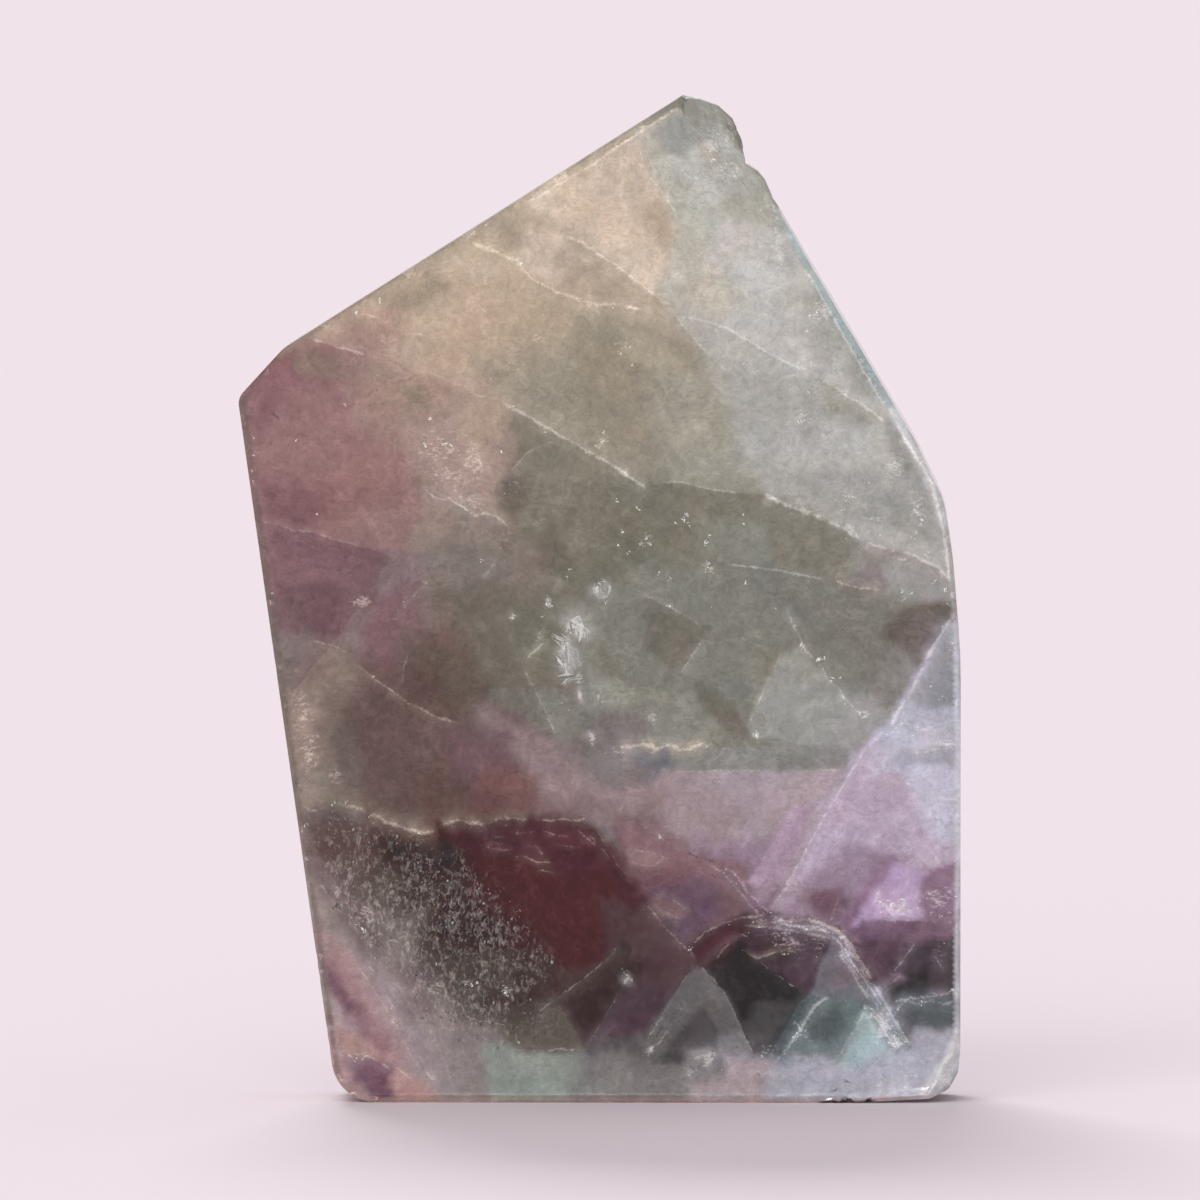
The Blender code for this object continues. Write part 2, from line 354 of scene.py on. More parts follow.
# Each row: colour, how bright that colour is here, width of the fade, corners (x z).
ZONES = [Zone(*row) for row in (
    # Grounds that lie under the others.
    ("heather", 1, 0.95, "-343 700, -190 690, -171 519, -286 404"),
    ("smoke", 0.97, 0.95, "-286 442, 0 385, 38 275, -286 270"),
    ("frost", 0.95, 0.95, "38 318, 341 347, 341 223, 134 175, 0 271"),
    ("violet", 1, 0.95, "134 232, 341 233, 341 99, 268 99, 134 156"),
    ("ash", 1.3, 0.95, "-152 60, 341 70, 341 3, -153 3"),
    ("graphite", 0.85, 0.95, "-57 156, 268 156, 268 32, -57 31"),
    ("maroon", 0.7, 0.95, "-198 253, -11 263, 35 208, 56 118, -57 89, -191 213"),
    ("lilac_grey", 1.1, 0.95, "-286 249, -210 245, -124 98, -124 3, -248 2"),
    # The tan and olive upper stone.
    ("shell", 1.07, 1.7, "-286 724, 38 919, 77 824, 62 776, 96 724, 38 738, -38 738, -76 691, -114 676"),
    ("olive", 1, 1.9, "-52 733, 10 748, 86 724, 119 686, 129 643, 96 605, 48 593, -81 667, -95 700"),
    ("light_sage", 1, 1.3, "48 672, 96 695, 129 686, 158 643, 186 574, 48 597, 38 633"),
    # The pearl and pewter facets at the upper right.
    ("pewter", 1, 1.1, "107 717, 153 719, 277 651, 317 595, 334 519, 329 500, 291 523, 239 543, 160 584"),
    ("pearl", 1, 0.76, "53 781, 101 828, 96 848, 170 851, 231 755, 267 686, 277 653, 73 759"),
    ("celadon", 0.94, 1.5, "69 791, 122 797, 141 771, 118 746, 61 773"),
    ("pearl", 1.05, 1.5, "132 815, 181 820, 197 786, 164 775, 136 782"),
    ("silver", 0.97, 1.4, "119 841, 153 838, 162 815, 115 810, 101 824"),
    ("pewter", 1.05, 1.2, "197 767, 235 752, 269 683, 271 660, 246 675, 202 724"),
    ("pale_sage", 1.1, 0.76, "235 719, 256 717, 271 675, 252 679"),
    ("silver", 0.96, 1, "124 738, 162 734, 191 719, 239 675, 136 727"),
    ("pearl", 0.98, 1.1, "100 729, 134 727, 219 685, 191 679, 153 698, 122 704, 111 712"),
    ("pewter", 0.98, 1.1, "149 686, 202 689, 219 675, 162 653, 134 662"),
    ("light_sage", 0.95, 0.86, "221 679, 271 649, 248 649, 221 664"),
    ("pearl", 1.01, 1.3, "216 641, 271 643, 286 613, 248 607, 218 612"),
    ("pearl", 0.97, 0.95, "174 633, 212 637, 216 612, 181 605"),
    ("pewter", 0.95, 1.1, "191 601, 254 601, 277 576, 267 553, 229 559, 197 576"),
    ("pewter", 0.9, 1.3, "275 580, 307 580, 315 548, 298 538, 277 553"),
    ("pewter", 0.9, 0.57, "272 648, 291 634, 315 586, 329 533, 310 538"),
    ("pearl", 0.95, 0.95, "250 544, 294 538, 329 513, 332 495, 301 505, 258 527"),
    # The cream crown and the cool tip.
    ("champagne", 1, 0.86, "-76 855, 38 921, 77 832, 69 803, 43 782, -35 833, -57 841"),
    ("cream", 1, 0.86, "-72 856, -38 877, -13 881, -15 857, -38 841, -63 849"),
    ("cream", 1, 1.3, "0 828, 38 828, 59 809, 42 788, 16 803"),
    ("shell", 0.97, 1.3, "38 867, 65 857, 77 830, 61 820"),
    ("celadon", 0.95, 0.48, "38 919, 99 847, 107 824, 90 803, 69 797, 78 828, 67 862, 48 894"),
    ("pewter", 1.1, 0.57, "40 923, 88 955, 113 946, 127 929, 134 908, 151 885, 171 851, 139 847, 101 854"),
    ("sage", 0.8, 1, "65 944, 99 950, 107 931, 90 917, 69 925"),
    ("pewter", 1.08, 0.86, "77 910, 118 925, 134 900, 115 872, 86 881"),
    ("fern_grey", 1, 1.1, "126 872, 155 874, 170 849, 141 843, 120 856"),
    ("pearl", 0.96, 0.48, "173 818, 191 818, 197 803, 186 794, 173 799"),
    ("khaki", 1.05, 0.76,
         "-99 839, -71 853, -35 833, 65 761, 38 759, 21 764, -5 764, -38 773, -72 794, -79 807, "
         "-118 824"),
    ("champagne", 0.99, 0.95, "-76 839, -42 832, -9 803, -32 782, -66 797, -76 818"),
    ("shell", 0.9, 0.95, "-38 803, 0 797, 25 776, 0 767, -28 776"),
    ("khaki", 0.99, 0.76, "-95 839, -72 841, -76 814, -91 816"),
    # The tan slope and the olive ribbon.
    ("shell", 1, 1.5, "-162 771, -124 805, -95 803, -95 738, -124 698, -171 738"),
    ("khaki", 0.95, 0.95, "-209 767, -152 803, -145 781, -198 751"),
    ("tan", 1.02, 1.5, "-206 738, -124 738, -95 717, -103 683, -190 704"),
    ("khaki", 1.04, 1.5, "-95 774, -38 767, -28 729, -66 717, -95 738"),
    ("olive", 1.05, 1.1, "-112 702, -66 719, -38 698, 46 599, 29 595, -14 628, -95 670"),
    ("olive", 1, 1.7, "-14 724, 19 727, 38 679, 38 633, 0 643, -24 679"),
    ("olive", 1.15, 0.86, "19 738, 57 733, 86 698, 58 698, 25 717"),
    # The rose and mauve shoulder at the left.
    ("mauve", 1, 1.1,
         "-337 675, -320 700, -276 723, -232 715, -202 690, -152 671, -124 648, -186 605, -171 586, "
         "-186 523, -326 556"),
    ("heather", 1, 0.86, "-333 690, -300 713, -267 717, -243 708, -295 679, -322 643, -333 643"),
    ("rose_tan", 0.88, 1, "-286 715, -243 715, -236 700, -265 694, -286 700"),
    ("rose_tan", 1, 1.4, "-236 709, -190 702, -116 676, -124 633, -156 619, -190 633, -217 652, -232 681"),
    ("rose_tan", 1.07, 1, "-251 734, -232 755, -198 755, -194 729, -217 717, -243 723"),
    ("tan", 0.8, 0.57, "-183 681, -162 679, -160 662, -179 660"),
    ("blush", 1, 1.4, "-171 641, -124 667, -90 648, -81 626, -95 595, -95 565, -152 578, -167 605"),
    ("tan", 0.97, 1.1, "-126 681, -95 670, -95 643, -116 633, -127 652"),
    ("mauve", 0.95, 0.86, "-332 605, -276 601, -190 582, -176 557, -229 544, -274 546, -324 555"),
    ("heather", 0.9, 1.1, "-314 589, -265 585, -257 557, -295 553, -322 562"),
    ("rose", 0.95, 1, "-248 555, -190 565, -152 576, -116 562, -95 547, -181 519, -236 538"),
    ("blush", 0.9, 0.95, "-162 571, -114 562, -90 546, -105 519, -152 490, -181 490, -176 523"),
    ("plum_mist", 1.05, 0.57, "-326 553, -201 522, -217 490, -243 457, -262 437, -286 446, -309 442"),
    ("plum", 1, 1.2, "-301 490, -243 492, -236 475, -257 438, -284 448, -301 465"),
    ("plum_mist", 0.97, 0.57, "-286 538, -206 517, -219 496, -267 513"),
    ("rose_grey", 0.98, 0.67, "-201 522, -152 519, -229 428, -243 442, -236 471, -217 492"),
    ("plum_mist", 1, 1.1, "-210 484, -171 490, -160 463, -181 442, -189 395, -213 412, -232 433"),
    ("heather", 0.85, 0.48, "-238 488, -217 490, -217 477, -232 475"),
    # The putty edge at the left, the dark slanting band and the brown stone beside it.
    ("milk", 0.88, 0.95, "-309 442, -274 442, -261 431, -286 394, -297 385"),
    ("putty", 0.96, 0.86, "-286 394, -253 438, -229 416, -257 299, -286 278, -292 328"),
    ("putty", 1.03, 0.67, "-296 391, -276 385, -265 337, -269 289, -284 278, -294 347"),
    ("olive", 0.92, 0.76, "-267 318, -238 313, -219 289, -238 278, -261 289"),
    ("umber", 1.25, 0.76, "-100 586, -72 589, -66 571, -78 553, -95 565"),
    ("moss", 1, 0.86, "-72 626, -52 635, -36 633, -36 557, -52 538, -68 544, -74 584"),
    ("moss", 1, 0.48, "-74 553, -38 571, 12 605, 43 588, 30 567, -5 540, -32 524, -49 553"),
    ("deep_moss", 1.04, 0.57, "-49 538, -32 523, -5 539, 50 584, 77 557, 58 519, 0 490, -38 490, -66 509"),
    ("deep_moss", 0.95, 0.57, "-59 544, -42 547, -32 523, -21 519, -38 502, -59 513"),
    ("fawn_grey", 1, 1.4, "-156 530, -95 542, -57 519, -57 462, -95 442, -152 442, -162 481"),
    ("umber", 1.04, 1.4, "-152 490, -103 490, -99 442, -124 433, -152 457"),
    ("smoke", 1.1, 1.3, "-189 442, -143 452, -114 433, -105 404, -124 370, -191 395"),
    ("bark", 1, 1.4, "-127 461, -57 466, -42 433, -57 395, -95 385, -116 414"),
    ("deep_moss", 1, 1.3, "-95 481, -52 485, -42 442, -57 404, -76 419, -89 442"),
    ("walnut", 1, 1.3, "-187 416, -162 431, -124 427, -107 395, -114 370, -138 366, -164 379, -183 393"),
    ("cocoa", 0.97, 1.1, "-187 409, -162 416, -152 385, -175 391"),
    ("smoke", 0.98, 1.2,
         "-248 380, -224 390, -186 390, -152 370, -124 362, -124 299, -152 270, -205 275, -236 309, "
         "-252 347"),
    ("putty", 0.88, 0.76, "-269 361, -248 371, -246 318, -236 289, -257 294"),
    ("moth", 1.05, 0.76, "-254 352, -236 366, -227 318, -240 299, -250 318"),
    ("cocoa", 1.1, 0.95, "-181 318, -124 328, -114 290, -152 274, -181 285"),
    # The middle and the right: sage, moss, the brown lens and the knots at the right edge.
    ("rose_grey", 1.1, 0.95, "-114 371, -38 352, 38 280, -9 272, -57 278, -76 318, -105 342"),
    ("plum_mist", 0.85, 1.3, "-143 352, -95 352, -76 328, -95 299, -133 309"),
    ("russet", 1, 1.3, "-107 318, -74 320, -61 290, -76 275, -124 275"),
    ("sage", 0.95, 0.76, "-95 390, -38 395, 0 366, 0 342, -38 352, -76 374"),
    ("sage", 1, 0.86, "-24 442, 0 433, 6 385, -9 366, -24 395"),
    ("sage", 1.15, 0.86, "-9 408, 38 395, 43 374, 0 370"),
    ("moss", 0.97, 0.48, "48 593, 160 580, 191 569, 239 543, 246 530, 225 498, 96 519, 58 519, 77 557"),
    ("moss", 0.99, 0.86, "162 557, 239 536, 229 508, 191 508, 162 519"),
    ("sage", 1.06, 0.86, "96 557, 155 552, 158 517, 120 517, 96 528"),
    ("sage", 0.98, 0.67,
         "0 490, 58 517, 122 514, 286 486, 291 443, 258 366, 229 385, 193 438, 153 424, 139 352, "
         "96 347, 38 385, 10 433"),
    ("stone_grey", 1, 0.86, "157 508, 286 481, 267 443, 210 443"),
    ("light_sage", 0.9, 0.76, "244 527, 286 523, 324 490, 286 484, 227 498"),
    ("milk", 0.95, 0.86, "250 519, 275 513, 271 492, 239 494"),
    ("film", 0.75, 1, "277 519, 329 500, 336 477, 296 475, 282 490"),
    ("umber", 0.9, 0.67, "280 469, 310 476, 336 475, 323 443, 305 416, 282 424, 272 447"),
    ("umber", 0.93, 0.57, "291 469, 332 471, 315 443, 298 438"),
    ("stone_grey", 1.03, 0.95, "239 443, 286 438, 304 416, 286 385, 258 395"),
    ("bark", 1.02, 0.67, "48 471, 73 473, 101 452, 86 423, 65 412, 43 433"),
    ("pale_sage", 1.04, 0.48, "141 355, 174 428, 191 433, 229 385, 258 362, 250 342, 191 342"),
    ("pale_sage", 1.02, 0.67, "210 395, 258 385, 277 366, 253 345, 224 366"),
    ("bark", 1, 0.48, "86 402, 111 395, 132 374, 141 351, 115 357, 96 374"),
    ("sage", 1.05, 0.86, "38 385, 86 395, 111 357, 96 342, 48 345"),
    ("milk", 0.87, 1.2, "4 371, 48 374, 38 342, 58 309, 29 299, 0 309, -19 333"),
    ("slate_blue", 0.95, 1.2, "38 332, 62 336, 69 313, 48 307"),
    ("pale_sage", 0.9, 0.29, "67 336, 239 340, 235 319, 69 318"),
    ("lilac_grey", 1.06, 0.38,
         "59 316, 239 318, 227 290, 191 223, 163 183, 86 242, 38 267, -3 272, 10 294, 48 299"),
    ("rose_grey", 1.08, 1.1, "0 293, 58 294, 48 269, 0 271"),
    ("orchid", 0.92, 0.95, "96 256, 163 242, 153 204, 86 240"),
    # The lilac and ice field at the right.
    ("lilac", 1.05, 0.38,
         "337 466, 342 443, 341 233, 287 223, 268 185, 191 175, 164 180, 191 223, 227 290, 239 319, "
         "254 345, 276 360"),
    ("frost", 1.03, 0.67, "277 359, 320 428, 341 395, 341 347, 286 333, 254 330"),
    ("mist_grey", 0.87, 0.57, "304 395, 323 447, 342 456, 341 382, 320 378, 298 382"),
    ("ice", 1, 0.57, "254 340, 277 359, 310 345, 341 342, 341 328, 291 330, 258 314"),
    ("frost", 0.93, 0.29, "291 336, 341 338, 341 318, 301 318, 277 323"),
    ("ice", 0.97, 0.76, "286 317, 341 317, 341 252, 315 261, 301 300"),
    ("lilac", 0.98, 0.95, "220 299, 286 300, 306 271, 287 242, 229 242, 203 252"),
    ("wine", 1.1, 0.86,
         "-195 255, -124 263, -57 266, -23 263, 39 192, 39 137, 0 122, -38 129, -76 146, -114 194, "
         "-162 223, -195 237"),
    ("maroon", 1.05, 0.38, "6 246, 21 230, 38 202, 31 192, 12 221"),
    # The dark lower left, and the mauve bank and the mint stone below it.
    ("earth", 0.8, 1.5,
         "-257 263, -192 253, -152 221, -95 189, -67 146, -52 98, -76 79, -124 89, -198 151, -238 194, "
         "-257 232"),
    ("moth", 1, 1.1, "-152 117, -76 103, -76 70, -124 60, -152 89"),
    ("dove", 1.05, 1,
         "-275 203, -243 189, -191 136, -152 122, -124 41, -124 3, -167 3, -243 136, -267 160"),
    ("lilac_grey", 1, 0.86, "-243 156, -217 146, -162 50, -143 7, -167 7"),
    ("rose_grey", 0.93, 0.86, "-195 132, -167 127, -162 84, -181 79"),
    ("bank_mauve", 1.05, 0.86, "-272 165, -250 146, -217 98, -191 50, -191 17, -217 39, -243 98, -265 136"),
    ("rose", 1.1, 0.86, "-258 89, -238 65, -205 43, -243 41"),
    ("bank_mauve", 1.1, 0.76, "-256 60, -240 39, -227 2, -243 2, -256 31"),
    ("milk", 1, 1.1, "-143 60, -95 70, -90 41, -105 3, -138 3"),
    ("mint", 1.1, 0.86, "-107 45, -76 51, -19 47, -7 36, -19 3, -103 3"),
    ("umber", 0.95, 0.67, "-90 98, -42 98, -19 60, -24 47, -76 51, -95 74"),
    ("umber", 0.9, 0.38, "-46 98, -32 89, -14 55, -24 49, -46 54, -57 70"),
    ("aubergine", 0.97, 0.95, "19 146, 48 170, 96 132, 39 55, 0 60, 5 89, 27 118"),
    ("graphite", 1.04, 1.1, "-9 60, 39 60, 86 46, 86 27, 0 22"),
    ("ash", 1.15, 1.1, "-19 41, 86 35, 86 3, -24 3"),
    # Mauve and plum above the fans.
    ("plum", 1, 0.86, "17 265, 43 265, 86 242, 129 225, 153 189, 139 175, 96 164, 81 146, 18 230"),
    ("plum_mist", 1.1, 0.76, "19 263, 44 263, 86 240, 96 227, 58 232, 27 242"),
    ("plum_mist", 1.1, 0.95, "86 234, 129 223, 148 194, 96 209"),
    ("dusk", 0.9, 1, "53 204, 96 213, 110 180, 96 164, 77 151, 62 170"),
    # The heart of the dark lower left: cocoa, rust, claret and wine.
    ("cocoa", 1.05, 1.3, "-269 268, -217 268, -205 242, -219 208, -253 213, -275 242"),
    ("rust", 0.65, 1.2, "-212 257, -152 257, -119 242, -124 215, -195 232"),
    ("walnut", 1, 1.4, "-257 213, -205 221, -191 189, -217 165"),
    ("fawn_grey", 1, 1.3, "-217 180, -167 184, -148 170, -176 141, -205 132, -221 151"),
    ("earth", 0.77, 1.6, "-162 208, -105 213, -86 165, -95 113, -143 113, -167 156"),
    ("cocoa", 0.7, 1.4, "-95 146, -49 151, -46 108, -76 89, -105 98"),
    ("claret", 0.95, 0.86,
         "-138 253, -114 264, -57 270, -23 265, -3 240, -7 227, -38 223, -90 226, -129 236"),
    ("rust", 0.75, 1, "-152 192, -124 198, -90 189, -74 165, -90 144, -124 148, -147 165"),
    ("rust", 1, 0.95, "-110 225, -86 213, -74 194, -93 184, -114 199"),
    ("walnut", 0.85, 1, "-156 141, -119 144, -86 139, -84 116, -124 108, -152 119"),
    ("cocoa", 0.75, 0.95, "-79 146, -7 129, -14 108, -52 108, -76 122"),
    ("wine", 0.9, 0.86, "-84 209, -66 205, -55 148, -74 151, -86 180"),
    ("claret", 1.05, 0.76, "-38 230, -3 225, 4 209, -19 202, -42 211"),
    ("claret", 1.1, 0.48, "-76 256, -38 263, -7 261, 0 242, -24 246, -52 242"),
    ("wine", 0.95, 1.2, "-62 205, 0 213, 16 170, 4 135, -38 141, -57 170"),
    ("rust", 1, 1.5, "-116 226, -66 225, -67 165, -86 170, -109 199"),
    ("plum", 0.75, 0.86, "4 189, 38 194, 88 144, 69 113, 39 122, 12 139"),
    ("claret", 1, 0.48, "0 246, 12 242, 42 196, 33 185, 12 209"),
    ("cocoa", 0.62, 0.67, "-38 98, -9 116, 21 142, 39 137, 4 79, -14 56"),
    ("cocoa", 0.68, 0.29, "-59 87, -42 102, -19 117, 5 137, 21 154, 31 146, 12 127, -9 110, -34 95"),
    ("rose_grey", 0.95, 0.67, "-271 224, -256 226, -212 146, -223 141, -248 177"),
    ("plum_mist", 1.1, 0.67, "-267 138, -256 131, -238 102, -202 52, -216 52, -238 77, -259 108"),
    ("thistle", 0.8, 0.48, "-261 127, -252 117, -233 89, -240 87, -258 112"),
    ("thistle", 0.8, 0.67, "-238 41, -223 45, -202 35, -195 4, -217 4, -235 22"),
    ("rose", 1.15, 0.67, "-198 22, -172 26, -149 4, -195 2"),
    ("bank_mauve", 0.9, 0.29, "26 239, 38 242, 54 239, 62 235, 56 229, 42 227, 31 230"),
    ("plum_mist", 1, 0.29, "50 194, 61 197, 73 192, 82 183, 77 178, 64 180, 55 186"),
    # The violet field at the lower right.
    ("orchid", 0.85, 0.86, "178 227, 229 240, 287 235, 271 214, 254 170, 234 161, 191 177, 164 181"),
    ("violet", 0.93, 0.57, "143 200, 180 213, 193 194, 172 181, 151 185"),
    ("thistle", 0.85, 0.76, "199 202, 227 206, 231 194, 218 177, 205 183"),
    ("violet", 1, 0.57, "277 231, 227 162, 239 154, 267 204"),
    ("lavender", 1.1, 0.67, "280 225, 310 223, 298 202, 300 176, 250 170"),
    ("lavender", 1.1, 0.76, "267 201, 298 201, 300 177, 262 177"),
    ("violet", 1, 0.67, "308 217, 341 225, 341 183, 329 183, 315 198"),
    ("dusk", 1.05, 0.29, "254 174, 341 172, 341 156, 291 152, 254 129, 237 154"),
    ("aubergine", 1.05, 0.57, "247 151, 287 160, 283 132, 264 116, 252 129"),
    ("plum_ash", 0.8, 0.48, "289 152, 341 160, 341 107, 310 108, 287 123, 279 129"),
    ("charcoal", 0.75, 0.48, "279 113, 308 126, 317 103, 292 97, 280 87, 269 99"),
    ("slate_blue", 0.75, 0.29, "280 85, 292 100, 315 100, 341 105, 341 61, 291 66"),
    ("teal", 0.8, 0.57, "294 87, 334 91, 334 72, 300 72"),
    # Slanting stripes, fans, arches and the dark pocket.
    ("orchid", 1.05, 0.29, "187 284, 195 282, 150 201, 141 207"),
    ("orchid", 0.95, 0.29, "195 282, 206 290, 189 247, 168 204, 157 189, 146 200, 151 201"),
    ("orchid", 0.95, 0.29, "227 295, 241 299, 227 269, 205 233, 188 199, 178 181, 161 182, 172 199"),
    ("lilac", 1.05, 0.24, "212 267, 224 276, 191 212, 181 211, 195 240"),
    ("ash", 0.9, 0.24, "93 132, 110 118, 123 99, 134 70, 147 43, 129 34, 48 41, 40 53, 65 96"),
    ("ash", 0.95, 0.29, "95 130, 109 117, 123 98, 145 45, 130 41, 121 72, 107 97, 94 110"),
    ("graphite", 0.9, 0.29, "94 93, 61 45, 88 39, 117 43, 109 68"),
    ("aubergine", 0.8, 0.29,
         "88 144, 107 162, 139 171, 191 169, 226 156, 212 132, 203 106, 177 110, 161 125, 150 139, "
         "136 150, 117 144, 105 131"),
    ("claret", 1.1, 0.38, "86 146, 107 164, 139 171, 145 166, 107 148, 100 135"),
    ("plum", 0.9, 0.24, "96 131, 103 146, 122 158, 138 160, 119 146, 107 130"),
    ("maroon", 0.9, 0.48, "136 166, 191 166, 197 147, 178 145, 157 148"),
    ("aubergine", 0.95, 0.48, "191 148, 214 154, 210 127, 199 112, 178 131, 182 142"),
    ("sable", 0.7, 0.24,
         "107 129, 121 145, 136 150, 150 137, 193 106, 199 99, 172 49, 151 46, 124 99, 111 114"),
    ("maroon", 0.65, 0.57, "105 131, 117 146, 134 150, 134 139, 113 116"),
    ("sable", 0.6, 0.67, "136 125, 170 120, 184 103, 157 95, 136 106"),
    ("charcoal", 1.2, 0.76, "136 89, 187 93, 176 60, 161 49, 147 60"),
    ("ash", 0.78, 0.67, "132 68, 182 74, 166 43, 142 43"),
    ("ash", 1.08, 0.48, "111 60, 136 76, 149 45, 117 35"),
    ("plum_ash", 1.25, 0.24, "224 156, 239 142, 268 94, 197 96, 204 105, 212 132"),
    ("slate_blue", 1.05, 0.48, "203 108, 256 113, 264 95, 220 98, 197 95"),
    ("teal", 0.78, 0.24, "193 99, 203 103, 219 103, 197 80, 182 55, 168 37, 153 41"),
    ("teal", 1.13, 0.24, "219 102, 250 95, 252 82, 234 56, 222 34, 168 36, 197 80"),
    ("teal", 0.9, 0.67, "199 80, 225 91, 231 74, 216 53, 197 57"),
    ("rim_cyan", 1, 0.24, "250 83, 260 93, 291 43, 284 30, 222 30, 234 56"),
    ("claret", 0.85, 0.24,
         "86 150, 101 165, 121 173, 140 179, 163 182, 196 180, 227 168, 244 152, 269 105, 287 78, "
         "298 53, 291 45, 275 78, 260 101, 235 144, 222 158, 191 167, 158 169, 136 169, 107 159, "
         "94 144"),
    ("teal", 1, 0.29, "254 113, 271 104, 287 78, 300 51, 296 40, 283 41, 268 70, 254 91"),
    # The brown knot left of the middle.
    ("umber", 0.97, 0.86, "-94 591, -82 598, -71 584, -75 565, -91 567"),
    # Mottle on the tip, the frosty foot, and a painted highlight on the right foot corner.
    ("pale_sage", 1.05, 0.57, "65 946, 96 954, 111 942, 117 925, 96 914, 73 923"),
    ("pale_sage", 1.05, 0.48, "86 946, 101 950, 107 938, 96 929, 82 934"),
    ("fern_grey", 0.95, 0.57, "96 910, 117 914, 124 896, 107 887, 94 894"),
    ("fern_grey", 1.05, 0.48, "136 872, 153 875, 164 856, 145 851, 134 858"),
    ("fern_grey", 1.05, 0.38, "44 919, 57 910, 86 872, 111 849, 107 828, 96 849, 73 881, 54 900"),
    ("pewter", 1.05, 0.57, "111 894, 126 889, 136 872, 118 866, 107 879"),
    ("pale_sage", 1.05, 0.57, "50 927, 73 938, 86 919, 80 900, 61 908"),
    ("fern_grey", 1, 0.57, "118 910, 136 900, 149 877, 137 866, 120 883"),
    ("frost", 1.02, 0.67, "96 35, 172 41, 239 36, 341 64, 341 32, 315 5, 96 4"),
    ("lilac_grey", 1.1, 1, "96 43, 163 39, 153 4, 90 4"),
    ("ash", 1.13, 0.86, "86 49, 117 41, 120 26, 90 22"),
    ("frost", 1, 0.57, "301 70, 341 66, 341 53, 311 13, 291 27"),
    # Painted highlight on the rounded right foot corner.
    ("rim_glint_white", 1.05, 0.29, "341 54, 341 30, 317 6, 310 11, 327 38"),
)]
print(len(ZONES), "growth zones")

# %% [markdown]
# ## Veils, cracks and flecks
#
# A veil is the seam of an old crack that healed: on the polished face it is a ragged pale
# hairline. It dips into the stone, so the colour behind it shows crisp at the line and fades
# out on the side to which it falls. Each is laid as a path with its width, strength and
# raggedness. A few pale lines along the rims are painted highlights rather than veils. Flecks
# are tiny cleavage flashes, laid one by one: pale splinters, partly painted glints. The ground
# edges get painted light and shade: each bevel and the face beside it gets its own paler or
# duller line, where it catches light from the side.

# %% Veils
Veil = namedtuple("Veil", "colour width strength roughness falls points")
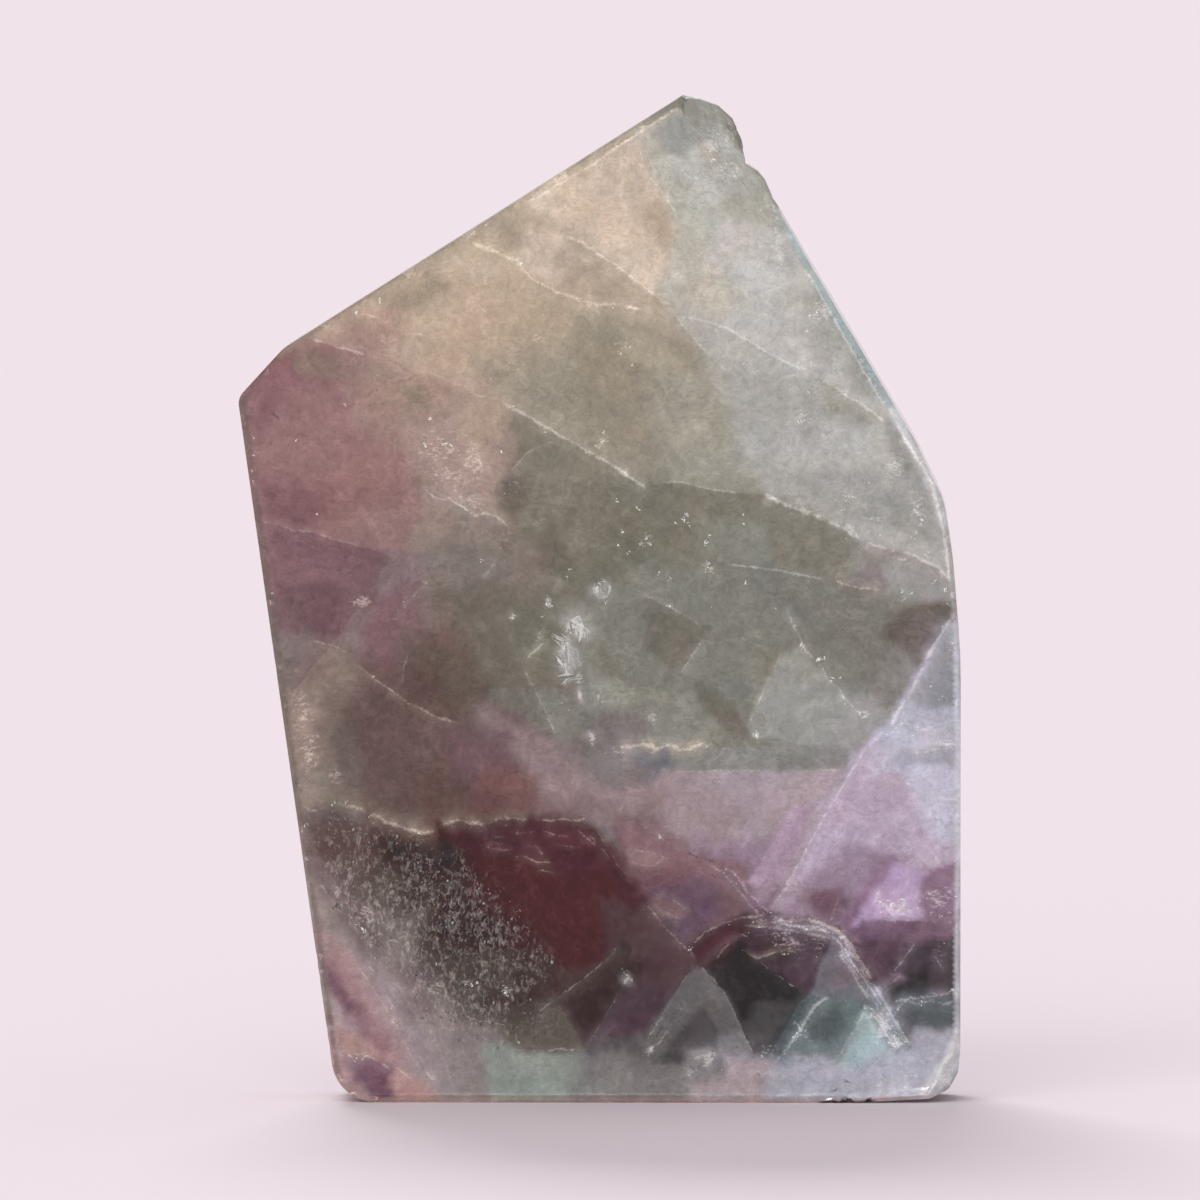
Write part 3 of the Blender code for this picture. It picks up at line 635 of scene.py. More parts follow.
# Most veils fall into the stone on one side, given as (side, colour, strength, breadth). Side 1
# lies left of the path as it is walked and -1 right. Paths that share their numbers have a ;
# between them. A strength below nought draws a dark line.
VEILS = [Veil(*row) for row in (
    ("blush", 0.29, 0.58, 0.08, (-1, "heather", 0.45, 1.7), "-276 730, -217 712"),
    ("champagne", 0.21, 0.35, 0.08, (-1, "rose_tan", 0.3, 1.3),
         "-167 700, -146 690, -129 684, -120 677, -95 670"),
    ("celadon", 0.31, 0.68, 0.10, (-1, "moss", 0.6, 3.2), "-95 670, -4 619, 25 601, 48 585"),
    ("champagne", 0.24, 0.47, 0.05, None, "-204 728, -188 730"),
    ("champagne", 0.24, 0.39, 0.05, None, "-185 735, -171 734, -156 728"),
    ("blush", 0.21, 0.39, 0.05, None, "-200 683, -188 680"),
    ("blush", 0.19, 0.31, 0.05, None, "-243 680, -233 684"),
    ("gold", 0.24, 0.47, 0.10, None, "-236 751, -223 753, -198 746"),
    ("silver", 0.29, 0.43, 0.08, None, "-129 616, -124 628, -117 622, -113 608, -114 594"),
    ("silver", 0.25, 0.47, 0.16, None, "-172 594, -158 578, -143 577, -118 561"),
    ("cream", 0.27, 0.55, 0.16, (-1, "stone_grey", 0.3, 1.3),
         "-145 577, -130 569, -118 561, -109 564, -97 559, -85 548"),
    ("plum", 0.33, -0.58, 0.05, None, "-317 660, -309 656, -302 650"),
    ("plum", 0.19, -0.35, 0.05, None, "-333 629, -318 630, -303 629"),
    ("blush", 0.19, 0.16, 0.08, (-1, "heather", 0.35, 1.5),
         "-322 608, -276 600, -266 595, -238 592, -209 586"),
    ("blush", 0.23, 0.39, 0.10, (-1, "plum", 0.5, 2.5),
         "-326 556, -309 553, -291 546, -273 546, -259 540, -211 527, -189 519"),
    # Painted highlight: a cream line just inside the crown's bevel, where the edge catches the light.
    ("cream", 0.29, 0.60, 0.05, None, "80 952, 50 935, -7 896, -71 858"),
    ("cream", 0.29, 0.60, 0.08, (-1, "khaki", 0.5, 1.5), "-35 830, -15 820, 40 782, 67 759"),
    ("celadon", 0.25, 0.43, 0.08, (-1, "olive", 0.4, 1.5), "67 759, 87 733, 105 713, 122 698"),
    ("gold", 0.31, 0.77, 0.10, (-1, "khaki", 0.25, 1.0), "-124 823, -79 804"),
    ("champagne", 0.31, 0.52, 0.10, (-1, "khaki", 0.4, 1.1),
         "-79 801, -62 785, -38 773, -1 762, 20 763, 43 756"),
    ("celadon", 0.23, 0.35, 0.08, (1, "fern_grey", 0.35, 1.0), "36 918, 44 890, 63 865, 76 844, 77 832"),
    ("silver", 0.21, 0.31, 0.06, None, "65 786, 83 798, 96 811, 113 823"),
    ("silver", 0.29, 0.51, 0.09, (-1, "pewter", 0.4, 1.1), "76 753, 122 740, 178 707, 201 698"),
    ("white", 0.31, 0.60, 0.08, (-1, "light_sage", 0.55, 1.3), "201 698, 251 666, 274 649"),
    ("silver", 0.19, 0.35, 0.05, None, "138 707, 143 700, 151 697"),
    ("celadon", 0.25, 0.42, 0.13, (-1, "deep_moss", 0.65, 2.5),
         "48 591, 73 594, 101 587, 128 583, 155 583"),
    ("silver", 0.40, 0.85, 0.21, (-1, "deep_moss", 0.6, 2.3),
         "155 583, 178 570, 201 564, 230 550, 251 537"),
    ("silver", 0.29, 0.60, 0.13, (-1, "rose_grey", 0.35, 1.3), "251 537, 301 523, 323 511, 334 500"),
    ("light_sage", 0.23, 0.19, 0.10, None, "-88 598, -78 607, -65 621, -55 628, -37 633"),
    ("pale_sage", 0.23, 0.17, 0.08, (1, "deep_moss", 0.5, 2.5), "48 584, 4 547, -22 528, -34 522"),
    ("pale_sage", 0.25, 0.51, 0.10, (-1, "stone_grey", 0.3, 1.1), "117 515, 158 511, 222 500"),
    ("blush", 0.25, 0.51, 0.08, (-1, "bark", 0.5, 1.3), "222 500, 237 494, 271 490"),
    ("blush", 0.23, 0.35, 0.06, None, "223 499, 237 519, 244 528"),
    ("silver", 0.21, 0.35, 0.08, (-1, "bark", 0.5, 1.3), "38 488, 69 473, 91 460, 100 450"),
    ("silver", 0.25, 0.43, 0.10, (-1, "bark", 0.55, 1.7), "100 446, 77 410"),
    ("silver", 0.25, 0.55, 0.13, (1, "stone_grey", 0.35, 1.3),
         "176 475, 197 433, 208 422, 218 406, 227 397, 234 386, 255 367"),
    ("celadon", 0.21, 0.31, 0.08, (1, "pale_sage", 0.4, 1.7), "174 428, 164 412, 141 359, 147 351"),
    ("celadon", 0.21, 0.33, 0.06, (-1, "umber", 0.35, 1.9), "-92 461, -81 432, -57 385, -40 347"),
    ("celadon", 0.21, 0.43, 0.06, None, "-72 420, -65 429, -49 444"),
    ("silver", 0.25, 0.58, 0.04, None, "-87 461, -84 465, -78 468"),
    ("silver", 0.23, 0.47, 0.03, None, "-58 463, -52 470; -62 443, -56 452"),
    ("silver", 0.21, 0.39, 0.04, None, "-47 486, -34 505; -114 498, -108 506, -95 522"),
    ("blush", 0.23, 0.47, 0.08, (1, "cocoa", 0.7, 1.9), "-235 422, -214 405, -186 385, -156 369, -131 362"),
    ("putty", 0.23, 0.39, 0.08, (-1, "putty", 0.3, 1.1), "-280 442, -269 441, -250 435, -238 428"),
    ("rose_tan", 0.25, 0.17, 0.10, (-1, "plum", 0.5, 2.1),
         "-196 523, -203 516, -217 490, -235 467, -255 438, -296 388"),
    ("blush", 0.23, 0.27, 0.10, None, "-158 502, -173 490, -185 477, -192 461"),
    ("rose_grey", 0.21, 0.31, 0.05, None, "-181 433, -187 416, -189 395"),
    ("cream", 0.31, 0.85, 0.16, (-1, "sage", 0.3, 0.8),
         "16 339, 38 342, 50 342, 54 337, 61 341, 69 342, 77 338, 86 338, 96 344, 104 344"),
    ("silver", 0.33, 0.47, 0.05, None, "45 362, 48 369, 54 377"),
    ("white", 0.27, 0.58, 0.04, None, "-11 359, -9 352, -2 341"),
    ("white", 0.25, 0.47, 0.04, None, "-16 400, -19 393, -18 384, -20 378"),
    ("lilac_grey", 0.19, 0.35, 0.04, None, "57 324, 43 300"),
    ("pale_sage", 0.19, 0.16, 0.05, None, "69 336, 96 339, 134 338"),
    ("blush", 0.23, 0.35, 0.08, (1, "sage", 0.45, 1.1), "65 316, 115 318, 153 318, 235 319"),
    ("ice", 0.38, 0.56, 0.10, (1, "frost", 0.55, 1.9), "336 466, 311 424, 303 405, 275 358"),
    ("ice", 0.29, 0.35, 0.10, (1, "lilac", 0.55, 2.1), "270 352, 252 337, 206 260, 193 232, 167 187"),
    ("ice", 0.29, 0.39, 0.13, None, "275 358, 254 345"),
    ("white", 0.29, 0.30, 0.13, None, "277 359, 291 364, 325 351, 341 349"),
    ("white", 0.29, 0.35, 0.13, None, "285 337, 301 335, 341 340"),
    ("orchid", 0.21, 0.35, 0.04, (-1, "dusk", 0.55, 1.3), "256 174, 287 175, 315 174, 341 172"),
    ("aqua", 0.29, 0.47, 0.10, (-1, "graphite", 0.55, 1.1), "280 85, 296 101, 313 102, 339 106"),
    ("putty", 0.38, 0.43, 0.16, (-1, "ash", 0.45, 1.5), "-286 284, -271 280, -257 286, -233 282, -221 277"),
    ("cream", 0.34, 0.80, 0.16, (-1, "earth", 0.7, 1.5),
         "-221 277, -210 272, -202 267, -194 266, -176 259, -164 258, -154 262"),
    ("champagne", 0.31, 0.56, 0.18, (-1, "claret", 0.6, 1.3),
         "-154 262, -143 268, -131 270, -119 267, -110 266, -95 271, -81 272, -66 270"),
    ("rose_tan", 0.29, 0.51, 0.16, (-1, "claret", 0.55, 1.1), "-66 270, -38 271, -11 270"),
    ("blush", 0.25, 0.35, 0.13, (1, "ash", 0.4, 0.8), "-271 213, -227 159, -212 144"),
    ("blush", 0.23, 0.31, 0.10, None, "-243 151, -208 96, -162 14"),
    ("smoke", 0.19, -0.23, 0.08, None, "-195 113, -168 60"),
    ("lilac_grey", 0.23, 0.27, 0.10, None, "-193 148, -181 113, -152 49, -137 10"),
    ("cream", 0.27, 0.47, 0.05, None, "-202 85, -194 71"),
    ("cream", 0.27, 0.43, 0.05, None, "-168 35, -157 16"),
    ("cream", 0.25, 0.35, 0.10, None, "-187 144, -198 133, -212 122"),
    ("blush", 0.25, 0.35, 0.13, (1, "earth", 0.35, 1.0), "-154 125, -141 91, -133 75"),
    ("blush", 0.23, 0.35, 0.16, None, "-198 39, -189 29, -175 22"),
    ("mint", 0.25, 0.31, 0.16, (1, "umber", 0.6, 0.8), "-80 52, -62 50, -38 51, -7 50"),
    ("white", 0.29, 0.55, 0.05, None, "53 259, 62 252"),
    ("orchid", 0.29, 0.47, 0.16, (-1, "dusk", 0.45, 1.3),
         "117 229, 126 221, 151 190, 159 184, 168 178, 182 177, 201 181"),
    ("lilac_grey", 0.23, 0.35, 0.16, None, "121 219, 149 183, 161 175"),
    ("blush", 0.27, 0.51, 0.05, None, "76 225, 87 225"),
    ("pale_sage", 0.29, 0.47, 0.05, None, "44 45, 53 60"),
    ("silver", 0.34, 0.68, 0.10, None, "86 41, 106 47, 102 37, 99 34"),
    ("frost", 0.29, 0.47, 0.10, None, "81 35, 90 20"),
    ("graphite", 0.25, -0.39, 0.08, None, "145 26, 151 29, 157 20"),
    ("mint", 0.21, 0.39, 0.08, None, "163 7, 212 8"),
    # Painted highlight along the rounded right foot corner.
    ("ice", 0.34, 0.49, 0.08, None, "341 54, 328 38, 316 10"),
    ("umber", 0.19, 0.10, 0.08, (-1, "umber", 0.35, 1.2), "107 397, 122 383, 136 366, 145 349"),
    ("lilac", 0.23, 0.22, 0.08, (1, "orchid", 0.45, 0.8), "188 284, 142 208"),
    ("lilac", 0.25, 0.40, 0.05, (1, "lilac", 0.8, 1.2), "227 295, 172 199, 161 183"),
    ("lilac", 0.21, 0.25, 0.05, (1, "lavender", 0.6, 1.3), "280 225, 250 170"),
    ("orchid", 0.23, 0.50, 0.04, None, "307 209, 330 183"),
    ("lilac", 0.19, 0.35, 0.04, None, "298 221, 287 198"),
    ("orchid", 0.21, 0.40, 0.03, None, "303 156, 277 120"),
    ("lilac_grey", 0.21, 0.32, 0.03, None, "289 126, 268 99"),
    ("orchid", 0.19, 0.30, 0.04, None, "317 149, 323 135, 332 122"),
    ("lilac", 0.19, 0.35, 0.05, None, "230 201, 218 169"),
    ("mauve", 0.21, 0.22, 0.10, (-1, "maroon", 0.6, 0.9), "-7 267, 16 230, 40 195"),
    ("rose_grey", 0.23, 0.35, 0.08, (-1, "plum", 0.45, 1.3), "40 195, 69 161, 86 145, 94 133"),
    ("ash", 0.25, 0.40, 0.05, (1, "ink", 0.65, 1.1), "94 133, 108 120, 122 101, 132 79, 140 60, 148 45"),
    ("blush", 0.21, 0.30, 0.08, (-1, "plum", 0.4, 1.3), "38 266, 76 242, 88 237"),
    ("maroon", 0.23, -0.45, 0.05, None, "80 241, 96 234, 114 230"),
    ("lilac_grey", 0.25, 0.50, 0.13, None, "96 231, 117 221, 132 204, 143 189, 155 179"),
    ("plum", 0.21, -0.35, 0.08, None, "101 221, 111 216, 122 215"),
    ("blush", 0.19, 0.35, 0.03, (1, "rose_grey", 0.4, 0.5),
         "25 235, 35 241, 50 240, 62 235, 53 227, 38 227, 26 234"),
    ("blush", 0.19, 0.30, 0.03, (1, "rose_grey", 0.4, 0.5),
         "49 193, 61 197, 74 192, 83 183, 75 177, 60 183, 50 192"),
    ("rose_grey", 0.25, 0.55, 0.08, None, "87 149, 101 164, 121 173, 140 178, 161 179"),
    ("lilac_grey", 0.32, 0.85, 0.08, None, "161 179, 178 174, 195 176, 210 173, 226 166, 239 152, 260 117"),
    ("ice", 0.32, 0.85, 0.05, (1, "graphite", 0.4, 0.8), "260 117, 297 54"),
    ("lilac_grey", 0.27, 0.60, 0.08, (-1, "aubergine", 0.5, 1.1), "136 170, 159 169, 214 159, 224 155"),
    ("lilac_grey", 0.27, 0.70, 0.08, (-1, "slate_blue", 0.3, 1.0), "227 148, 259 96"),
    ("ice", 0.25, 0.70, 0.13, None, "164 173, 191 169, 212 165, 227 156, 248 124"),
    ("frost", 0.29, 0.80, 0.10, None, "256 95, 285 49"),
    ("white", 0.25, 0.80, 0.13, None, "262 89, 289 51"),
    ("orchid", 0.17, 0.50, 0.03, None,
         "174 160, 183 151; 179 163, 189 147; 185 160, 195 147; 191 156, 199 146; 166 153, "
         "175 146; 161 160, 167 152"),
    ("cream", 0.17, 0.50, 0.04, (-1, "ink", 0.6, 1.1), "135 149, 150 138, 171 145, 191 145"),
    ("dusk", 0.21, 0.32, 0.04, (-1, "ink", 0.55, 1.1), "150 137, 182 113, 197 107"),
    ("plum", 0.21, 0.30, 0.04, (-1, "maroon", 0.5, 1.0), "107 133, 117 146, 128 156"),
    ("teal", 0.17, 0.15, 0.03, (-1, "charcoal", 0.65, 1.1), "203 107, 191 96, 161 44"),
    ("aqua", 0.29, 0.85, 0.05, (1, "teal", 0.45, 0.9), "220 104, 206 93, 197 80, 190 67, 167 37"),
    ("aqua", 0.21, 0.35, 0.05, None, "219 103, 216 91, 208 80"),
    ("lilac_grey", 0.17, 0.14, 0.04, (1, "slate_blue", 0.5, 1.1), "224 155, 212 132, 203 105"),
    ("aqua", 0.27, 0.50, 0.08, (1, "mint", 0.5, 1.1), "254 89, 222 34"),
    ("ash", 0.23, 0.34, 0.04, (1, "ash", 0.35, 0.7), "86 126, 73 106, 41 53"),
    ("ash", 0.21, 0.34, 0.04, None, "82 96, 51 49"),
    ("charcoal", 0.25, -0.50, 0.04, None, "63 79, 52 59"),
    ("pale_sage", 0.27, 0.45, 0.05, None, "53 57, 44 41"),
    ("graphite", 0.17, 0.10, 0.05, (-1, "graphite", 0.4, 1.0), "94 95, 114 47"),
    ("white", 0.25, 0.90, 0.04, None, "31 125, 21 111"),
    ("frost", 0.21, 0.50, 0.04, None, "19 98, 16 93"),
    ("ash", 0.19, 0.22, 0.05, (1, "plum_ash", 0.3, 1.1), "27 121, 2 77, -13 54"),
    ("ash", 0.21, 0.30, 0.05, (1, "umber", 0.35, 0.6), "19 152, 5 136, -19 116, -42 100, -61 85"),
    ("khaki", 0.17, 0.20, 0.04, (1, "aubergine", 0.5, 1.2), "-46 108, -36 89, -13 50"),
    ("lilac_grey", 0.19, 0.26, 0.08, (1, "earth", 0.45, 0.9), "-261 226, -233 177, -212 146"),
    ("lilac_grey", 0.19, 0.22, 0.08, (1, "milk", 0.3, 0.7), "-212 146, -156 47"),
    ("blush", 0.21, 0.30, 0.08, None, "-229 148, -166 35"),
    ("cream", 0.25, 0.50, 0.16, (-1, "dusk", 0.55, 0.9),
         "-246 49, -238 45, -231 37, -223 45, -216 42, -198 31"),
    ("rose", 0.19, 0.42, 0.05, (-1, "plum", 0.35, 0.6), "-86 235, -72 236, -59 230, -42 231"),
    ("rose", 0.17, 0.32, 0.06, None, "-63 225, -34 217"),
    ("maroon", 0.23, -0.40, 0.10, None, "-95 246, -66 249, -40 244, -19 236"),
    ("smoke", 0.19, -0.60, 0.08, None, "228 17, 235 22, 245 16"),
    ("cocoa", 0.19, -0.60, 0.08, None, "218 10, 228 14, 237 9, 249 12"),
    ("white", 0.27, 0.75, 0.10, None, "99 954, 111 945, 122 928, 141 893"),
    ("ice", 0.25, 0.60, 0.10, None, "96 931, 111 919, 134 883"),
    ("celadon", 0.19, 0.45, 0.04, (-1, "moss", 0.35, 0.6), "80 954, 38 926, 10 910"),
    ("lilac_grey", 0.23, 0.60, 0.13, None, "142 176, 157 171, 174 175, 191 169, 208 169, 226 160"),
    ("frost", 0.23, 0.60, 0.10, None, "233 152, 241 135, 266 99, 277 80"),
    ("aqua", 0.25, 0.70, 0.13, None, "280 96, 290 99, 302 95, 315 98, 329 95, 340 99"),
    ("frost", 0.21, 0.50, 0.13, None, "311 99, 317 106, 325 102, 334 105"),
    ("aqua", 0.23, 0.60, 0.08, None, "280 83, 294 95"),
    ("mauve", 0.29, 0.34, 0.13, None,
         "-120 257, -103 253, -86 255; -95 262, -76 258, -59 260; -57 261, -42 255, -24 257; -45 249, "
         "-28 244, -11 246; -24 263, -11 253, -2 242; -114 246, -95 242, -78 244; -76 249, -61 244, "
         "-49 234; -13 259, 0 246, 12 230"),
    ("maroon", 0.29, -0.42, 0.13, None,
         "-108 255, -91 249, -76 251; -68 255, -49 249, -32 251; -38 242, -9 230; -3 251, "
         "19 213; 4 240, 33 196"),
    ("lilac_grey", 0.17, 0.32, 0.04, None,
         "197 152, 205 145; 203 141, 210 131; 182 139, 191 129; 163 135, 174 127; 168 148, "
         "180 141; 142 160, 153 152; 189 125, 197 116"),
    ("ink", 0.23, -0.50, 0.08, None,
         "163 146, 178 139; 187 158, 203 150; 203 135, 208 122; 172 125, 187 114; 149 164, 157 161, "
         "164 160"),
    # Painted highlight: a white flash along the right rim, with painted shade falling inward from it.
    ("white", 0.31, 0.95, 0.03, (-1, "umber", 0.35, 0.5),
         "283 645, 306 611, 316 592, 322 572, 327 548, 331 523, 333 496"),
    # Painted highlight: a pale aqua line just inside the upper right rim.
    ("aqua", 0.23, 0.70, 0.04, None, "197 795, 273 662"),
    ("white", 0.27, 0.75, 0.04, None,
         "264 187, 268 192, 271 198; 272 183, 278 188, 281 194; 281 181, 288 188, 294 197; 289 180, "
         "296 183, 300 189; 275 198, 280 202, 284 207; 262 196, 266 200, 267 206"),
    ("blush", 0.21, 0.35, 0.08, (1, "umber", 0.25, 0.8), "-91 597, -68 622, -49 631, -36 633"),
)]

# Feathers are torn white films in the middle of the stone.
FEATHERS = [Veil(*row) for row in (
    ("white", 0.57, 0.83, 0.18, None, "-32 450, -28 457, -21 462, -19 450, -23 442"),
    ("white", 0.33, 0.77, 0.13, None, "-38 446, -30 441, -32 433, -30 421, -26 410"),
    ("silver", 0.57, 0.75, 0.18, None, "-34 441, -28 416, -24 406"),
    ("silver", 0.29, 0.47, 0.10, None, "-24 406, -32 404, -37 397"),
    ("white", 0.29, 0.55, 0.10, None, "-21 461, -15 454, -13 445"),
    ("silver", 0.25, 0.39, 0.08, None, "-46 448, -34 439"),
    ("silver", 0.25, 0.35, 0.08, None, "-46 441, -45 433"),
    ("white", 0.27, 0.85, 0.06, None, "-2 497, -3 490, 0 484, 6 485, 9 493, 3 497, -2 497"),
)]
print(len(VEILS), "kinds of veil and", len(FEATHERS), "of feather")

# %% Flecks
# Bright flecks laid one by one, partly pale cleavage bits and partly painted glints: x and z
# in tenths, and size in hundredths of a millimetre.
GLINT_FLECKS = read_rows((
    "-2 496 34, -50 480 29, -46 475 29, 6 477 19, -83 464 19, 48 534 19, 45 540 21, 40 534 19, "
    "22 546 23, 17 533 19, 28 525 19, 17 575 19, 37 570 19, 57 506 21, 67 500 21, 67 476 21, "
    "-54 465 17, -23 463 17, 82 562 25, 80 556 29, 73 554 19, 86 555 23, 136 561 17, 136 554 23, "
    "104 541 21, 101 535 23, 103 515 27, 101 509 17, 139 498 19, -28 509 25, -32 502 19, 86 550 15, "
    "200 751 23, 208 756 23, 198 738 19, 170 817 19, 171 798 19, 201 790 19, 202 707 19, 192 650 29, "
    "198 678 19, 278 602 31, 281 612 23, 282 595 19, 256 591 17, 234 581 25, 241 580 19, 303 572 29, "
    "305 565 23, 307 557 25, 302 545 27, 299 540 19, 267 542 19, 232 567 17, 310 526 25, 318 499 25, "
    "328 490 27, 332 478 19, 291 490 48, 296 485 38, 289 484 29, 209 424 29, 214 425 19, 229 407 17, "
    "252 370 38, 220 404 29, 193 438 25, 149 352 32, 96 885 29, 117 919 38, 113 912 29, 124 914 25, "
    "133 910 25, 153 884 25, 171 849 27, 107 897 29, 117 891 25, 130 885 25, 82 956 23, -79 804 43, "
    "-232 755 31, -211 767 31, -242 666 17, -269 562 17, -231 481 15, -112 519 17, -314 486 21, "
    "-289 633 13, -329 619 17, -331 636 17, -148 632 32, -162 652 25, -167 627 23, -141 627 23, "
    "-93 622 15, 3 633 32, 5 641 19, 29 724 29, 31 705 19, 19 717 19, -254 286 19, -280 266 23, "
    "-242 287 21, 341 343 25, 335 340 25, 342 465 23, 336 442 25, 331 385 19, 326 387 19, "
    "324 279 19, 280 190 29, 271 186 32, 275 194 21, 284 187 23, 292 192 25, 295 184 23, 289 196 19, "
    "298 194 19, 267 189 19, 302 187 19, 285 199 17, 325 180 17, 317 182 17, 334 183 15, 59 254 21, "
    "86 148 23, 191 70 29, 187 62 23, 260 85 25, 264 80 23, 269 86 21, 275 72 25, 280 64 25, "
    "284 59 23, 271 78 19, 286 66 21, 277 57 19, 290 59 19, 253 93 19, 266 70 19, 286 33 19, "
    "268 22 32, 292 15 19, 156 45 29, 336 108 19, 277 11 19, -199 92 15, -155 133 17, -123 113 21, "
    "-128 114 19, -118 114 19, -90 108 25, -88 102 19, -92 113 19, -225 165 29, -227 177 23, "
    "-231 170 19"
), (0.1, 0.1, 0.01))
print(len(GLINT_FLECKS), "flecks")

# %% Ground edges: painted light and shade
Edge = namedtuple("Edge", "name colour tone width round strength points")
# Each row is a painted highlight or painted shade along a bevel: name, colour, tone, width on
# the face, depth round the bevel, strength, points.
PAINTED_EDGE_LIGHT = [Edge(*row) for row in (
    ("crown_bevel", "moss", 1.08, 0.48, 1.4, 0.75, "80 959, -71 872, -219 775, -310 713"),
    ("crown_bevel_tan", "rose_tan", 0.95, 0.48, 1.4, 0.5, "-171 807, -248 757, -310 713"),
    ("shoulder_edge", "plum_mist", 0.9, 0.48, 1.2, 0.6, "-310 713, -329 692, -340 669"),
    ("left_edge", "putty", 0.86, 0.38, 1.2, 0.6, "-340 669, -322 538, -296 347, -269 165, -250 26"),
    ("tip_top", "silver", 0.95, 0.48, 1, 0.6, "80 959, 100 956, 117 946"),
    ("tip_break", "silver", 1, 0.48, 0.8, 0.7, "117 946, 130 919, 136 897, 153 881, 170 853"),
    ("right_high", "rim_cyan", 1, 0.57, 1.2, 0.8, "171 851, 219 767, 267 686, 286 651"),
    ("right_bright", "rim_glint_white", 1, 0.67, 1.4, 1, "280 662, 301 622, 319 586, 329 555"),
    ("right_mid", "silver", 0.96, 0.48, 1.2, 0.7, "329 555, 336 510, 340 457"),
    ("right_side", "rim_glint_white", 0.97, 0.43, 1.2, 0.85, "340 457, 342 328, 342 194, 341 53"),
    ("right_corner", "rim_glint_white", 1, 1.14, 1.5, 0.95, "341 53, 333 32, 315 11"),
    ("foot_edge", "peach", 1.02, 0.38, 1, 0.7, "-229 2, 0 2, 210 2, 315 4"),
    ("left_foot", "rose_tan", 1, 0.38, 1, 0.6, "-250 26, -242 12, -227 2"),
)]
print("ground edges:", [edge.name for edge in PAINTED_EDGE_LIGHT])

# %% [markdown]
# ## Frost and grain
#
# Where the crystal is shattered too finely to see each crack, it turns frosty: a pale patch
# that breaks up into feathery splinters at its edge. A patch is laid as an oval, and its
# material breaks it up later. The lower left holds something else, a cloud of coarse pale
# grains in dark stone, laid as fields with a soft edge.

